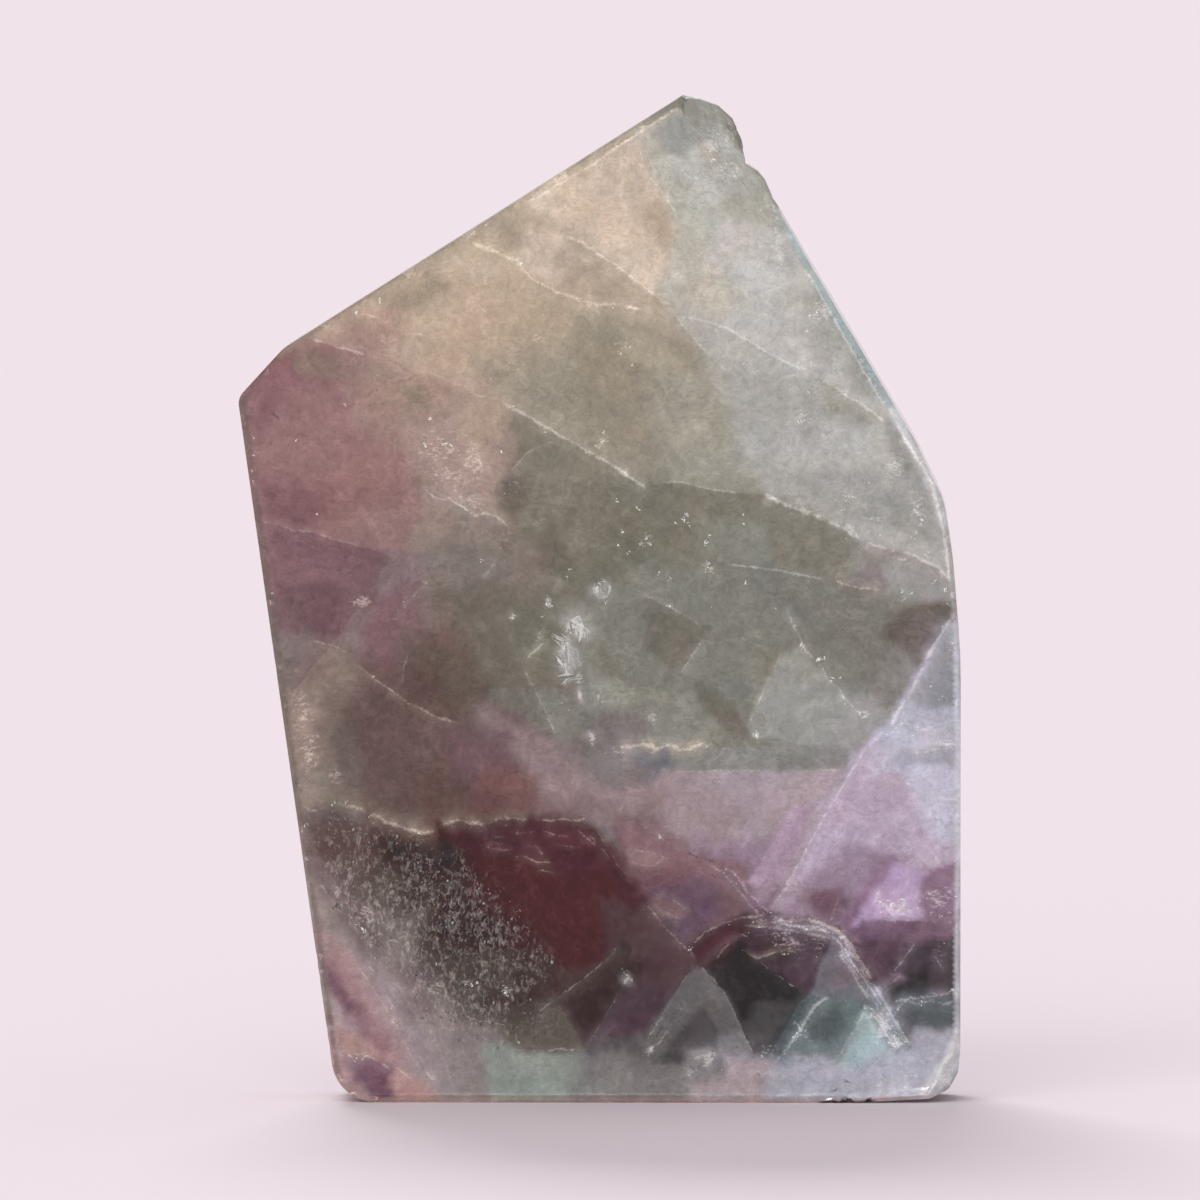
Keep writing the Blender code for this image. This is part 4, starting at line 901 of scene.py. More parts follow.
# %% Frost patches and grain fields
# For each group: how cool its white is, then ovals as x, z, half width and half height in
# tenths of a millimetre, turn in degrees, and strength in hundredths.
FROST_ROWS = {
    "broken_tip": (0.8,
     "111 919 17 24 0 80, 96 885 17 17 0 50, 125 891 19 17 0 60, 169 847 6 5 0 100, 86 954 10 6 0 70, "
     "136 910 6 11 0 80, 150 885 6 6 0 80, 57 929 11 10 0 35, 145 857 15 10 0 35"),
    "right_rim": (0.6,
     "128 820 27 14 0 50, 169 812 10 17 0 60, 204 792 10 11 0 70, 210 754 12 14 0 85, "
     "142 704 14 10 -30 50, 192 654 19 11 -20 60, 131 631 11 13 0 40, 280 608 12 15 0 85, "
     "303 567 9 25 12 75, 230 581 17 11 0 50, 291 519 19 8 -30 50, 239 548 17 6 -30 70, "
     "170 857 5 11 -30 60, 248 624 19 19 0 35, 96 767 15 10 -30 40, 57 776 13 8 0 40, "
     "172 738 19 13 0 35, 115 738 13 8 -35 40, 267 557 13 10 0 50, 315 519 11 8 -20 50, "
     "222 715 19 8 -25 35"),
    "tan_crown": (0.05,
     "2 630 7 8 -30 95, 20 727 14 11 0 50, -56 730 9 9 0 50, 32 759 15 6 -20 55, -38 881 17 13 0 40, "
     "-78 803 8 6 0 95, -57 857 10 6 0 60, 10 803 23 8 -25 35, -24 767 29 6 -25 50, "
     "-124 729 11 6 0 50, -166 738 17 6 -20 40, -209 729 10 6 0 40, -95 719 24 10 -30 35, "
     "-105 690 15 11 0 30, -124 705 13 8 0 35"),
    "blush_cloud": (0.15,
     "-150 628 29 17 0 70, -121 612 10 23 0 85, -145 598 27 13 -20 70, -162 551 9 11 0 40, "
     "-101 519 14 8 0 60, -227 479 11 7 0 80, -186 476 8 29 -35 45, -171 490 6 21 -35 40, "
     "-95 538 27 13 0 45, -171 671 21 10 0 30, -286 681 13 13 0 20, -124 576 21 8 -35 70, "
     "-243 652 15 10 0 20, -329 622 5 6 0 60"),
    "green_heart": (0.6,
     "45 537 10 9 0 90, 21 546 4 4 0 100, 103 513 6 9 0 85, 1 490 8 6 0 100, -48 479 5 8 0 100, "
     "-84 463 8 3 30 95, -57 446 3 11 -30 90, -25 455 12 8 0 100, -31 429 9 19 0 95, "
     "-22 405 8 7 0 80, -19 391 4 10 0 80, -2 388 15 11 0 50, -7 350 4 9 0 90, 51 367 5 10 0 75, "
     "-38 385 29 19 0 30, -57 557 13 13 0 35, -79 588 10 11 0 45, 96 481 19 11 0 25, "
     "134 471 10 10 0 30, 177 476 8 19 -20 30, 86 423 11 8 0 30"),
    "low_band": (0.4,
     "65 341 21 4 0 70, 99 342 9 3 0 95, 19 337 21 5 0 50, 252 373 8 6 -40 80, 150 352 9 7 0 75, "
     "210 385 15 10 0 30, 0 318 19 15 0 25"),
    "putty_edge": (0.05,
     "-285 373 15 31 0 55, -276 335 11 21 0 80, -288 414 8 10 0 50, -254 313 11 13 0 55, "
     "-281 299 11 10 0 40, -248 395 11 10 0 30, -229 280 19 5 -10 50"),
    "ice_wedge": (0.95,
     "283 355 15 16 0 50, 306 360 19 10 0 50, 331 344 10 6 0 95, 295 306 10 9 0 50, "
     "293 237 11 15 0 65, 334 433 5 15 0 60, 321 271 11 11 0 40, 232 239 11 8 0 40, "
     "191 299 11 10 0 30, 124 252 19 11 0 25, 96 290 15 8 0 30, 315 405 15 23 0 25"),
    "violet_field": (0.9,
     "283 183 16 10 0 100, 321 196 15 13 0 75, 176 155 25 11 -20 70, 306 190 10 10 0 60, "
     "334 204 8 10 0 60, 267 194 8 8 0 60, 210 151 9 12 0 50, 139 161 12 7 0 50, 325 147 13 19 0 35, "
     "134 213 15 10 -30 30"),
    "aqua_fan": (1,
     "257 88 7 10 -30 90, 271 70 8 13 -30 100, 283 55 8 10 -30 100, 193 70 4 14 35 90, "
     "234 99 10 8 0 40, 163 51 11 8 0 50, 296 32 17 13 0 50, 129 41 13 10 0 40, 311 99 19 6 0 40"),
    "foot": (0.5,
     "104 39 8 6 0 90, 87 32 8 8 0 75, 50 53 4 9 -40 80, 27 121 3 11 35 90, 63 70 5 14 35 50, "
     "327 19 11 11 0 90, 268 17 4 9 0 70, 293 13 5 5 0 70, 153 41 19 11 0 30, 0 27 29 11 0 25"),
    "lower_left": (0.25,
     "-177 78 15 15 0 40, -157 111 10 11 0 65, -113 78 25 11 0 50, -195 158 15 11 0 50, "
     "-223 180 7 12 15 85, -243 151 13 13 0 25, -195 77 3 9 40 75, -162 26 4 10 40 70, "
     "-138 27 10 10 0 30, -210 113 11 10 0 30, -229 46 13 5 0 60, -238 232 13 15 0 40, "
     "-126 114 9 5 0 90, -88 108 6 8 0 90"),
}
Grain = namedtuple("Grain", "name strength fade corners")
GRAIN_FIELDS = [Grain(*row) for row in (
    ("grain_field", 1, 3.24,
         "-257 278, -192 249, -152 240, -124 225, -95 198, -67 165, -46 140, -61 108, -95 87, -139 81, "
         "-168 108, -198 129, -227 156, -250 182, -261 221, -269 249"),
    ("grain_low", 0.6, 3.24, "-191 136, -114 108, -57 89, -38 70, -95 50, -152 60, -181 89"),
    ("grain_core", 0.5, 2.86, "-191 232, -143 223, -95 175, -86 137, -124 113, -152 137, -181 175"),
)]
FROST = {
    name: (cool, read_rows(text, (0.1, 0.1, 0.1, 0.1, 1.0, 0.01)))
    for name, (cool, text) in FROST_ROWS.items()
}
print("frost patches:", {name: len(spots) for name, (_, spots) in FROST.items()})
print("grain fields:", [field.name for field in GRAIN_FIELDS])

# %% Where the skin is fine and where it is coarse
FRONT_STEP = 0.33
CORNER_STEP = 0.40
BACK_STEP = 0.85
BROKEN_CORNER = (4.0, 83.0)
ON_THE_FACE = 0.02


def step_at(point):
    """The length of a triangle's side near a point on the solid."""
    if point[1] < FRONT + ON_THE_FACE:
        return FRONT_STEP
    if point[0] > BROKEN_CORNER[0] and point[2] > BROKEN_CORNER[1]:
        return CORNER_STEP
    return BACK_STEP


def cut_edge(start, end):
    """The points inside one edge, evenly spread."""
    length = np.linalg.norm(end - start)
    count = max(1, round(length / step_at((start + end) / 2.0)))
    shares = np.arange(1, count) / count
    return start + shares[:, None] * (end - start)


# %% Ragged veil traces
SEAM_SHARE = 0.55
LEAST_SEAM = 0.07
FEATHER_SEED = 500


def ragged(path, roughness, seed):
    """A given path cut to short steps and jittered sideways, as a healed crack runs."""
    steps = []
    for start, end in zip(path, path[1:]):
        count = max(1, round(float(np.hypot(*(end - start))) / FRONT_STEP))
        steps += [start + (end - start) * i / count for i in range(count)]
    steps = np.array(steps + [path[-1]])
    places = at_depth(steps, seed * 3.7)
    jitter = drift(places, 1.1, 1) + 0.6 * drift(places, 0.45, 2)
    return steps + jitter[:, XZ] * roughness


def rows_beside(path, width):
    """The path itself and a row of points on each side of it."""
    shift = across(path) * width
    return np.vstack([path, path + shift, path - shift])


def lay_paths(rows, first_seed):
    """Every path of the rows, ragged, with the row it belongs to."""
    laid = [(row, text) for row in rows for text in row.points.split(";")]
    return [
        (row, ragged(read_points(text), row.roughness, first_seed + i))
        for i, (row, text) in enumerate(laid)
    ]


feather_paths = lay_paths(FEATHERS, FEATHER_SEED)
veils = lay_paths(VEILS, 1) + feather_paths
veil_rows = np.vstack([
    rows_beside(path, max(veil.width * SEAM_SHARE, LEAST_SEAM)) for veil, path in veils
])
print(len(veils), "veils with", len(veil_rows), "points beside them")

# %% Refill the faces
BOW = 0.003
BORDER_CLEARANCE = 0.6
SEAM_GRID = 0.04
SEAM_BORDER_GAP = 0.10
SEAM_CLEARANCE = 0.55
seam_points = np.unique(np.round(veil_rows / SEAM_GRID).astype(int), axis=0) * SEAM_GRID


def hex_grid(low, high, step):
    """A grid of even triangles over a flat box."""
    rows = np.arange(low[1], high[1], step * math.sqrt(0.75))
    columns = np.arange(low[0], high[0], step)
    grid = np.array([(x + (i % 2) * step / 2.0, z) for i, z in enumerate(rows) for x in columns])
    return grid.reshape(-1, 2)


def clear_of(points, taken, gap):
    """The points that are at least `gap` away from all the taken ones."""
    tree = kdtree.KDTree(len(taken))
    for i, (x, z) in enumerate(taken):
        tree.insert((x, z, 0.0), i)
    tree.balance()
    keep = [tree.find((x, z, 0.0))[2] > gap for x, z in points]
    return points[np.array(keep, bool)] if len(points) else points


def bowed(side, count):
    """A straight side's points pushed outwards a hair, so that no three lie in a row."""
    shares = np.arange(count) / count
    ahead = side[1] - side[0]
    out = np.array([ahead[1], -ahead[0]]) * BOW
    return side[0] + shares[:, None] * ahead + (4.0 * shares * (1.0 - shares))[:, None] * out


def fill_face(outline, inner):
    """Triangles over a flat ring and the points inside it, as indices into both, in order."""
    coords = [Vector(p) for p in np.vstack([outline, inner])]
    ring = list(range(len(outline)))
    points, _, faces, sources, _, _ = geometry.delaunay_2d_cdt(coords, [], [ring], 1, 1e-7, True)
    if len(points) != len(coords):
        print("a face changed its points while it was refilled:", len(coords), len(points))
    middles = np.array([np.mean([points[i] for i in face], axis=0) for face in faces])
    kept = inside(middles, outline)
    return [[sources[i][0] for i in face] for face, keep in zip(faces, kept) if keep]


def inner_points(flat, step, seams):
    """A grid of points inside a flat ring, clear of its border and of the seams' own points."""
    inner = hex_grid(flat.min(0) + step * 0.4, flat.max(0), step)
    inner = clear_of(inner[inside(inner, flat)], flat, step * BORDER_CLEARANCE)
    if seams is None:
        return inner
    seams = clear_of(seams[inside(seams, flat)], flat, SEAM_BORDER_GAP)
    return np.vstack([clear_of(inner, seams, FRONT_STEP * SEAM_CLEARANCE), seams])


def face_axes(normal):
    """Two directions along a flat face, at right angles to each other."""
    up = (0.0, 0.0, 1.0) if abs(normal[2]) < 0.9 else (0.0, 1.0, 0.0)
    u = np.cross(up, normal)
    u /= np.linalg.norm(u)
    return np.stack([u, np.cross(normal, u)])


def refill(corners, rings):
    """A closed skin of small triangles over the same flat faces."""
    points = list(corners)
    on_edge = {}
    triangles = []
    for ring, normal in rings:
        axes = face_axes(normal)
        border, outline = [], []
        for a, b in zip(ring, ring[1:] + ring[:1]):
            key = (min(a, b), max(a, b))
            if key not in on_edge:
                cuts = cut_edge(corners[key[0]], corners[key[1]])
                on_edge[key] = list(range(len(points), len(points) + len(cuts)))
                points.extend(cuts)
            cuts = on_edge[key] if a < b else on_edge[key][::-1]
            border += [a] + cuts
            ends = np.array([corners[a], corners[b]]) @ axes.T
            outline.append(bowed(ends, len(cuts) + 1))
        around = np.array([points[i] for i in border])
        flat = around @ axes.T
        is_front = normal[1] < -0.99 and around[:, 1].max() < FRONT + 0.01
        step = FRONT_STEP if is_front else step_at(around.mean(0))
        inner = inner_points(flat, step, seam_points * (axes[0, 0], 1.0) if is_front else None)
        index = border + list(range(len(points), len(points) + len(inner)))
        points.extend(around[0] - flat[0] @ axes + inner @ axes)
        filled = fill_face(np.vstack(outline), inner)
        triangles += [[index[i] for i in face] for face in filled]
    return np.array(points), triangles


skin, triangles = refill(corners, rings)
print(len(skin), "points and", len(triangles), "triangles in the skin")

# %% [markdown]
# ## Painting the growth zones
#
# Each point of the skin looks up the zones at its own place, bent by a little noise so that
# no border is ruled, and shifted with depth, because every layer dips into the stone: the
# back shows the same layers in other places. Soft borders wander by a coarse noise and are
# frayed by a finer one, so that neighbouring colours reach into each other as clouds do.
#
# The named colours are what an eye sees. A shader wants the share of light that the stone
# gives back, so the mirror glare of the polish is taken off and the rest is divided by the
# light that reaches it. Close to the floor less light arrives, so the paint is paler there.

# %% Colour tools
GLARE = 0.024
STUDIO_GAIN = np.array((0.715, 0.690, 0.700))
FOOT_SHADE = 0.30
FOOT_SHADE_HEIGHT = 2.2
# Where the foot's pits lie. They are painted dark: painted shade in the recesses.
PITTED = (21.0, 26.3)
PIT_HEIGHT = 0.95
PIT_LIP = 0.03
PIT_DEPTH = 0.9


def linear(colour):
    """An 0 to 255 display colour as linear light."""
    share = np.clip(np.array(colour, float) / 255.0, 0.0, 1.0)
    return np.where(share <= 0.04045, share / 12.92, ((share + 0.055) / 1.055) ** 2.4)


def seen(name, tone=1.0):
    """A named stone colour, brightened or dimmed, as linear light."""
    return linear(np.array(STONE_COLOURS[name]) * tone)


def lay(colours, where, colour, cover):
    """Lays one colour over some of the points, with its cover from 0 to 1."""
    colours[where] += (colour - colours[where]) * cover[:, None]


# %% Lay in the zones
CRISP = 0.45
SPREAD = 0.8
SPREAD_FROM = 5.0
SPREAD_OVER = 12.0
MOST_LEAN = 0.42
# Noise on the borders, each as lump size and strength in millimetres.
SLOW_BEND = (6.0, 0.45)
FINE_BEND = (1.6, 0.16)
COARSE_WANDER = (3.2, 1.1)
FINE_WANDER = (0.9, 0.55)


def near(flat, path, margin):
    """The points inside the path's box grown by a margin."""
    low, high = path.min(0) - margin, path.max(0) + margin
    return np.where(((flat > low) & (flat < high)).all(1))[0]


def paint_zones(points):
    """The colour of every point from the growth zones."""
    depth = points[:, 1] - FRONT
    flat = points[:, XZ]
    bend = drift(points, SLOW_BEND[0], 1)[:, XZ] * SLOW_BEND[1]
    bend += drift(points, FINE_BEND[0], 2)[:, XZ] * FINE_BEND[1]
    wander = lumps(points, COARSE_WANDER[0], 7) * COARSE_WANDER[1]
    wander += lumps(points, FINE_WANDER[0], 8, 4) * FINE_WANDER[1]
    colours = np.tile(seen("moss"), (len(points), 1))
    chance = np.random.default_rng(7)
    for zone in ZONES:
        lean = chance.uniform(-MOST_LEAN, MOST_LEAN, 2)
        ring = read_points(zone.corners)
        ground = flat + bend - depth[:, None] * lean
        extent = float(np.sqrt(np.prod(np.ptp(ring, axis=0))))
        wide = smooth((extent - SPREAD_FROM) / SPREAD_OVER)
        soft = zone.fade * (1.0 + SPREAD * wide * (zone.fade > CRISP))
        where = near(ground, ring, soft * 2.0 + 1.0)
        border = depth_inside(ground[where], ring)
        border += wander[where] * min(1.2, soft) * 0.6 + soft * 0.35
        cover = smooth(border / (2.0 * soft) + 0.5)
        lay(colours, where, seen(zone.colour, zone.tone), cover)
    return colours


colours = paint_zones(skin)
print("mean stone colour as seen:", np.round(colours.mean(0), 3))

# %% [markdown]
# ## Veils with a sharp edge
#
# A veil's colour ends at a hairline, finer than any triangle here. So the skin doesn't carry
# the line itself but each point's distance from it, positive on one side and negative on the
# other. Between two points the distance runs evenly through nought, and the material draws
# the hairline exactly there. Veils that come close to each other go into separate layers,
# since a point can hold one distance in each.

# %% Draw the veils
LAYERS = 3
# A point keeps its distance from a veil whole up to KEPT millimetres, and lets go of it at HELD.
KEPT = 0.42
HELD = 0.80
LINE_DEPTH = 1.2
FALL_DEPTH = 3.0
LEAST_WIDTH = 0.10
GLOW_BREADTH = 2.4
GLOW_COVER = 0.40
GLOW_FROST = 0.55
FLICKER = 1.3
NO_FALL = (0, "moss", 0.0, 0.5)


def coolness_of(name):
    """0 for a warm named colour and 1 for a cool one, by its blue against its red."""
    red, _, blue = STONE_COLOURS[name]
    return np.clip((blue - red + 30.0) / 45.0, 0.0, 1.0)


def share_out(veils):
    """The veils in layers, each as far as it can be from the others of its layer."""
    layers = [[] for _ in range(LAYERS)]
    for i, (_, path) in enumerate(veils):
        gaps = [
            min([np.linalg.norm(path[::2, None] - veils[j][1][None, ::2], axis=2).min() for j in layer],
                default=99.0)
            for layer in layers
        ]
        layers[int(np.argmax(gaps))].append(i)
    return layers


def draw_layer(points, colours, frost, members):
    """One layer: the line numbers (distance, strength, coolness, width), and the colour that
    lies behind the veil, how strong it is, and the distance on the side to which it falls."""
    count = len(points)
    flat = points[:, XZ]
    depth = np.maximum(points[:, 1] - FRONT, 0.0)
    line = np.tile((1.0, 0.0, 0.5, 0.2), (count, 1))
    behind, power, falling = colours.copy(), np.zeros(count), np.full(count, -1.0)
    closest = np.full(count, HELD)
    for i in members:
        veil, path = veils[i]
        falls, colour, strength, breadth = veil.falls or NO_FALL
        where = near(flat, path, max(veil.width * 4.0, breadth * 2.4, HELD) + 0.2)
        distance, along, side, total = reach(flat[where], path)
        open_end = np.minimum(along, total - along)
        if falls:
            toward = distance * side * falls
            held = smooth((HELD - distance) / (HELD - KEPT))
            deep = np.where(toward > 0.0, np.exp(-((distance / breadth) ** 1.4)), held)
            deep = deep * smooth(open_end / (breadth * 0.8) + 0.12) * np.exp(-depth[where] / FALL_DEPTH)
            deep *= strength * (1.0 + 0.30 * lumps(points[where], 1.6, 61 + i, 3))
            wins = deep > power[where]
            chosen = where[wins]
            power[chosen] = np.clip(deep[wins], 0.0, 1.0)
            behind[chosen], falling[chosen] = seen(colour), np.clip(toward[wins], -1.0, 1.0)
        flicker = np.array([noise.noise(Vector((s / FLICKER, i * 7.1, 0.0))) for s in along])
        vigour = np.clip(0.85 + 0.9 * flicker, 0.15, 1.3) * smooth(open_end / 0.9 + 0.05)
        vigour *= veil.strength * np.exp(-depth[where] / LINE_DEPTH)
        wins = distance < closest[where]
        chosen = where[wins]
        closest[chosen] = distance[wins]
        line[chosen, 0] = (distance * side)[wins]
        line[chosen, 1] = (vigour * smooth((HELD - distance) / (HELD - KEPT)))[wins]
        line[chosen, 2] = coolness_of(veil.colour)
        line[chosen, 3] = max(veil.width * 0.9, LEAST_WIDTH)
        if veil.strength > 0.0:
            glow = np.exp(-((distance / (veil.width * GLOW_BREADTH)) ** 2)) * vigour
            lay(colours, where, seen(veil.colour), np.clip(glow * GLOW_COVER, 0.0, 1.0))
            frost[where] = np.maximum(frost[where], glow * GLOW_FROST)
    return line, np.column_stack([behind, power]), falling


def paint_edge_light_and_shade(points, colours):
    """Paints a highlight or a shade on each ground edge, on the face beside it and round its bevel."""
    depth = points[:, 1] - FRONT
    flat = points[:, XZ]
    for edge in PAINTED_EDGE_LIGHT:
        path = read_points(edge.points)
        where = near(flat, path, edge.width + 0.2)
        distance = reach(flat[where], path)[0]
        cover = smooth(1.7 * (1.0 - distance / edge.width)) * smooth(1.6 - depth[where] / edge.round)
        uneven = 0.85 + 0.3 * lumps(points[where], 1.4, 41, 2)
        lay(colours, where, seen(edge.colour, edge.tone), np.clip(cover * uneven, 0, 1) * edge.strength)


def oval(flat, x, z, wide, tall, turn):
    """1 in the middle of an oval patch and fading outwards."""
    u, v = turned(flat[:, 0] - x, flat[:, 1] - z, -math.radians(turn))
    return np.exp(-0.9 * ((u / wide) ** 2 + (v / tall) ** 2))


def lay_frost(points, frost, cool):
    """Adds the frost patches. A patch reaches right through the stone, leaning as it goes."""
    depth = points[:, 1] - FRONT
    chance = np.random.default_rng(5)
    for coolness, spots in FROST.values():
        for x, z, wide, tall, turn, strength in spots:
            lean = chance.uniform(-0.5, 0.5, 2)
            flat = points[:, XZ] - depth[:, None] * lean
            patch = oval(flat, x, z, wide, tall, turn) * strength
            cool[:] = np.where(patch > frost, coolness, cool)
            frost[:] = np.maximum(frost, patch)


GRAIN_LEAN = np.array((0.3, 0.1))


def lay_grain(points):
    """How thick the coarse pale grains lie at each point."""
    depth = points[:, 1] - FRONT
    grain = np.zeros(len(points))
    wander = lumps(points, 3.0, 33) * 0.9 + lumps(points, 0.9, 34) * 0.5
    for field in GRAIN_FIELDS:
        ring = read_points(field.corners)
        flat = points[:, XZ] - depth[:, None] * GRAIN_LEAN
        border = depth_inside(flat, ring) + wander
        grain = 1.0 - (1.0 - grain) * (1.0 - field.strength * smooth(border / field.fade + 0.5))
    return grain


# %% Put the paint together
frost, cool = np.zeros(len(skin)), np.full(len(skin), 0.5)
layers = [draw_layer(skin, colours, frost, members) for members in share_out(veils)]
# Painted highlights and painted shade along the ground edges.
paint_edge_light_and_shade(skin, colours)
lay_frost(skin, frost, cool)
grain = lay_grain(skin)
light_up = 1.0 + FOOT_SHADE * np.exp(-skin[:, 2:] / FOOT_SHADE_HEIGHT)
# The pits in the sawn foot are painted dark, as painted shade, with no frost or veil in them.
pit_shade_mask = (skin[:, 2] < PIT_HEIGHT) & (skin[:, 0] > PITTED[0]) & (skin[:, 0] < PITTED[1])
pit_shade_mask &= (skin[:, 1] > FRONT + PIT_LIP) & (skin[:, 1] < FRONT + PIT_DEPTH)
colours[pit_shade_mask] = seen("smoke", 0.6)
frost[pit_shade_mask] = 0.0
for line, behind, _ in layers:
    line[pit_shade_mask, 1] = behind[pit_shade_mask, 3] = 0.0


def given_back(colours, light_up):
    """The share of light that the stone must give back to be seen in these colours."""
    return np.clip((colours - GLARE) / STUDIO_GAIN * light_up, 0.0015, 0.97)


reflectance = given_back(colours, light_up)
print("mean share of light given back:", np.round(reflectance.mean(0), 3))
print("frosty share of the skin:", round(float((frost > 0.2).mean()), 3))

# %% [markdown]
# ## The mesh, its hand polish and its wear
#
# The skin becomes a mesh. A hand polish is never dead flat, so the faces are moved by a
# hundredth of a millimetre in slow waves. Fluorite is soft, so its ground edges carry tiny
# chips, and the broken corner isn't smooth: it parted in small flat steps. Both are made by
# pushing points inwards along their normals, so they are real shape and catch real light.
# The colours and the marks ride on the mesh as attributes, which the material reads.

# %% Make the piece
POLISH_WAVE = 0.010
CHIP_DEPTH = 0.16
STEP_HEIGHT = 0.11
RECESS = 0.018
SMOOTH_UNDER = 11.0
BREAK_FROM = (7.6, 85.6)
BREAK_FADE = 0.8
CHIP_REACH = 0.22


def new_piece(name, points, faces, smooth_angle=None):
    """A mesh object from points in millimetres."""
    mesh = bpy.data.meshes.new(name)
    mesh.from_pydata((np.asarray(points) * MM).tolist(), [], [list(f) for f in faces])
    mesh.update()
    if smooth_angle is not None:
        mesh.shade_smooth()
        mesh.set_sharp_from_angle(angle=math.radians(smooth_angle))
    piece = bpy.data.objects.new(name, mesh)
    bpy.context.scene.collection.objects.link(piece)
    return piece


def carry(piece, name, red, green, blue, alpha=1.0):
    """Stores up to four numbers for each point of a piece, under one name."""
    values = np.stack([red, green, blue, alpha * np.ones(len(red))], 1)
    layer = piece.data.color_attributes.new(name, "FLOAT_COLOR", "POINT")
    layer.data.foreach_set("color", values.astype(np.float32).ravel())


def point_normals(points, faces):
    """The outward direction at each point, weighted by the triangles around it."""
    faces = np.array(faces)
    a, b, c = (points[faces[:, i]] for i in range(3))
    normals = np.zeros_like(points)
    for i in range(3):
        np.add.at(normals, faces[:, i], np.cross(b - a, c - a))
    return normals / np.maximum(np.linalg.norm(normals, axis=1), 1e-12)[:, None]


# %% Polish waves, chips and cleavage steps
flat_side = np.abs(skin[:, 1]) > THICKNESS / 2.0 - ON_THE_FACE
normals = point_normals(skin, triangles)
broken = smooth((skin[:, 2] - BREAK_FROM[1]) / BREAK_FADE) * ~flat_side
broken *= smooth((skin[:, 0] - BREAK_FROM[0]) / BREAK_FADE)
face_ring = np.array([corners[i] for i in max(rings, key=lambda r: len(r[0]))[0]])[:, XZ]
to_edge = reach(skin[:, XZ], closed(face_ring))[0]
beside_edge = np.exp(-((to_edge / CHIP_REACH) ** 2)) * (np.abs(skin[:, 1]) > THICKNESS / 2.0 - 0.8)
chips = smooth((lumps(skin, 0.8, 51, 2) - 0.34) / 0.22) * beside_edge * (skin[:, 2] > 0.3)
terraces = np.floor(lumps(skin, 2.0, 52, 3) * 3.0 + 1.5).clip(0, 3) * STEP_HEIGHT * broken
push = terraces + chips * CHIP_DEPTH
worn = skin - normals * push[:, None]
worn[:, 1] += np.where(flat_side, lumps(skin, 9.0, 21, 2) * POLISH_WAVE, 0.0) * -np.sign(skin[:, 1])
worn[:, 1] *= 1.0 - RECESS / (THICKNESS / 2.0)
worn[:, 2] = np.maximum(worn[:, 2], 0.0)
slab = new_piece("polished_slice", worn, triangles, smooth_angle=SMOOTH_UNDER)
sawn = smooth((0.02 - skin[:, 2]) / 0.02)
sawn = np.maximum(sawn, smooth((skin[:, 1] - 5.6) / 0.8) * smooth((0.9 - skin[:, 2]) / 0.3))
unpolished = np.clip(broken + sawn + chips * 0.8, 0.0, 1.0)
frost = np.maximum(frost, np.clip(chips * 0.9 + broken * 0.35, 0.0, 0.9))
carry(slab, "growth_colour", *reflectance.T)
carry(slab, "stone_marks", frost, grain, chips, unpolished)
carry(slab, "falling_sides", *[side for _, _, side in layers], cool)
for i, (line, behind, _) in enumerate(layers):
    carry(slab, f"veil_line_{i}", *line.T)
    carry(slab, f"behind_veil_{i}", *given_back(behind[:, :3], light_up).T, behind[:, 3])

check = bmesh.new()
check.from_mesh(slab.data)
open_edges = sum(len(edge.link_faces) != 2 for edge in check.edges)
print("open edges:", open_edges, " volume in cm3:", round(check.calc_volume() * 1e6, 2))
print("chipped points:", int((chips > 0.3).sum()), " broken points:", int((broken > 0.5).sum()))
check.free()

# %% [markdown]
# ## Splinters, grains and feathers
#
# Three things in this stone are too crisp to be paint. Splinters are tiny cleavage pieces that
# flash where a veil or a frosty patch meets the polish: their pale colour is partly their own
# and partly a painted glint. Grains are pale crumbs of another mineral, crowded in the dark
# lower left. Feathers are torn white films in the middle. Each kind is one mesh of many small
# closed bodies, ground flush with the polished face.

# %% Splinters, grains and feathers
SUNK = 0.45
EDGE_MARGIN = 0.35
chance = np.random.default_rng(11)


class Crumbs:
    """Gathers many small closed bodies and their colours into one mesh."""

    def __init__(self):
        self.points, self.faces, self.colours = [], [], []

    def body(self, front, root, colour):
        """A body with a flat front, given anticlockwise as x z, and a root inside the stone."""
        start = len(self.points)
        count = len(front)
        middle = front.mean(0)
        level = FRONT + chance.uniform(0.001, 0.014)
        self.points += [(x, level, z) for x, z in front]
        self.points += [(middle[0], level, middle[1]), tuple(root)]
        for i in range(count):
            j = (i + 1) % count
            self.faces.append((start + count, start + i, start + j))
            self.faces.append((start + count + 1, start + j, start + i))
        self.colours += [colour] * (count + 2)

    def splinter(self, x, z, long, wide, turn, colour):
        """One ragged splinter, wherever it lies on the polished face."""
        count = int(chance.integers(5, 9))
        angles = (np.arange(count) + chance.uniform(-0.38, 0.38, count)) * 2.0 * math.pi / count
        radius = chance.uniform(0.40, 1.0, count)
        u, v = np.cos(angles) * radius * long / 2.0, np.sin(angles) * radius * wide / 2.0
        front = np.column_stack(turned(u, v, turn)) + (x, z)
        if not inside(front, face_ring).all() or z < EDGE_MARGIN:
            return
        root = (x + chance.normal(0, wide), FRONT + SUNK * wide, z + chance.normal(0, wide))
        self.body(front, root, colour)

    def build(self, name):
        """The mesh of all that was gathered, with each body's colour on its points."""
        piece = new_piece(name, self.points, self.faces)
        colours = given_back(np.array(self.colours), 1.0)
        carry(piece, "crumb_colour", *colours.T)
        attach(piece, "root")
        print(name, "in", len(self.faces), "triangles")
        return piece


def pale_colour(name, low, high):
    """A named colour at a chance brightness."""
    return seen(name, chance.uniform(low, high))


def whiteness(coolness):
    """Warm or cool white."""
    return "film" if coolness > 0.5 else "crumb"


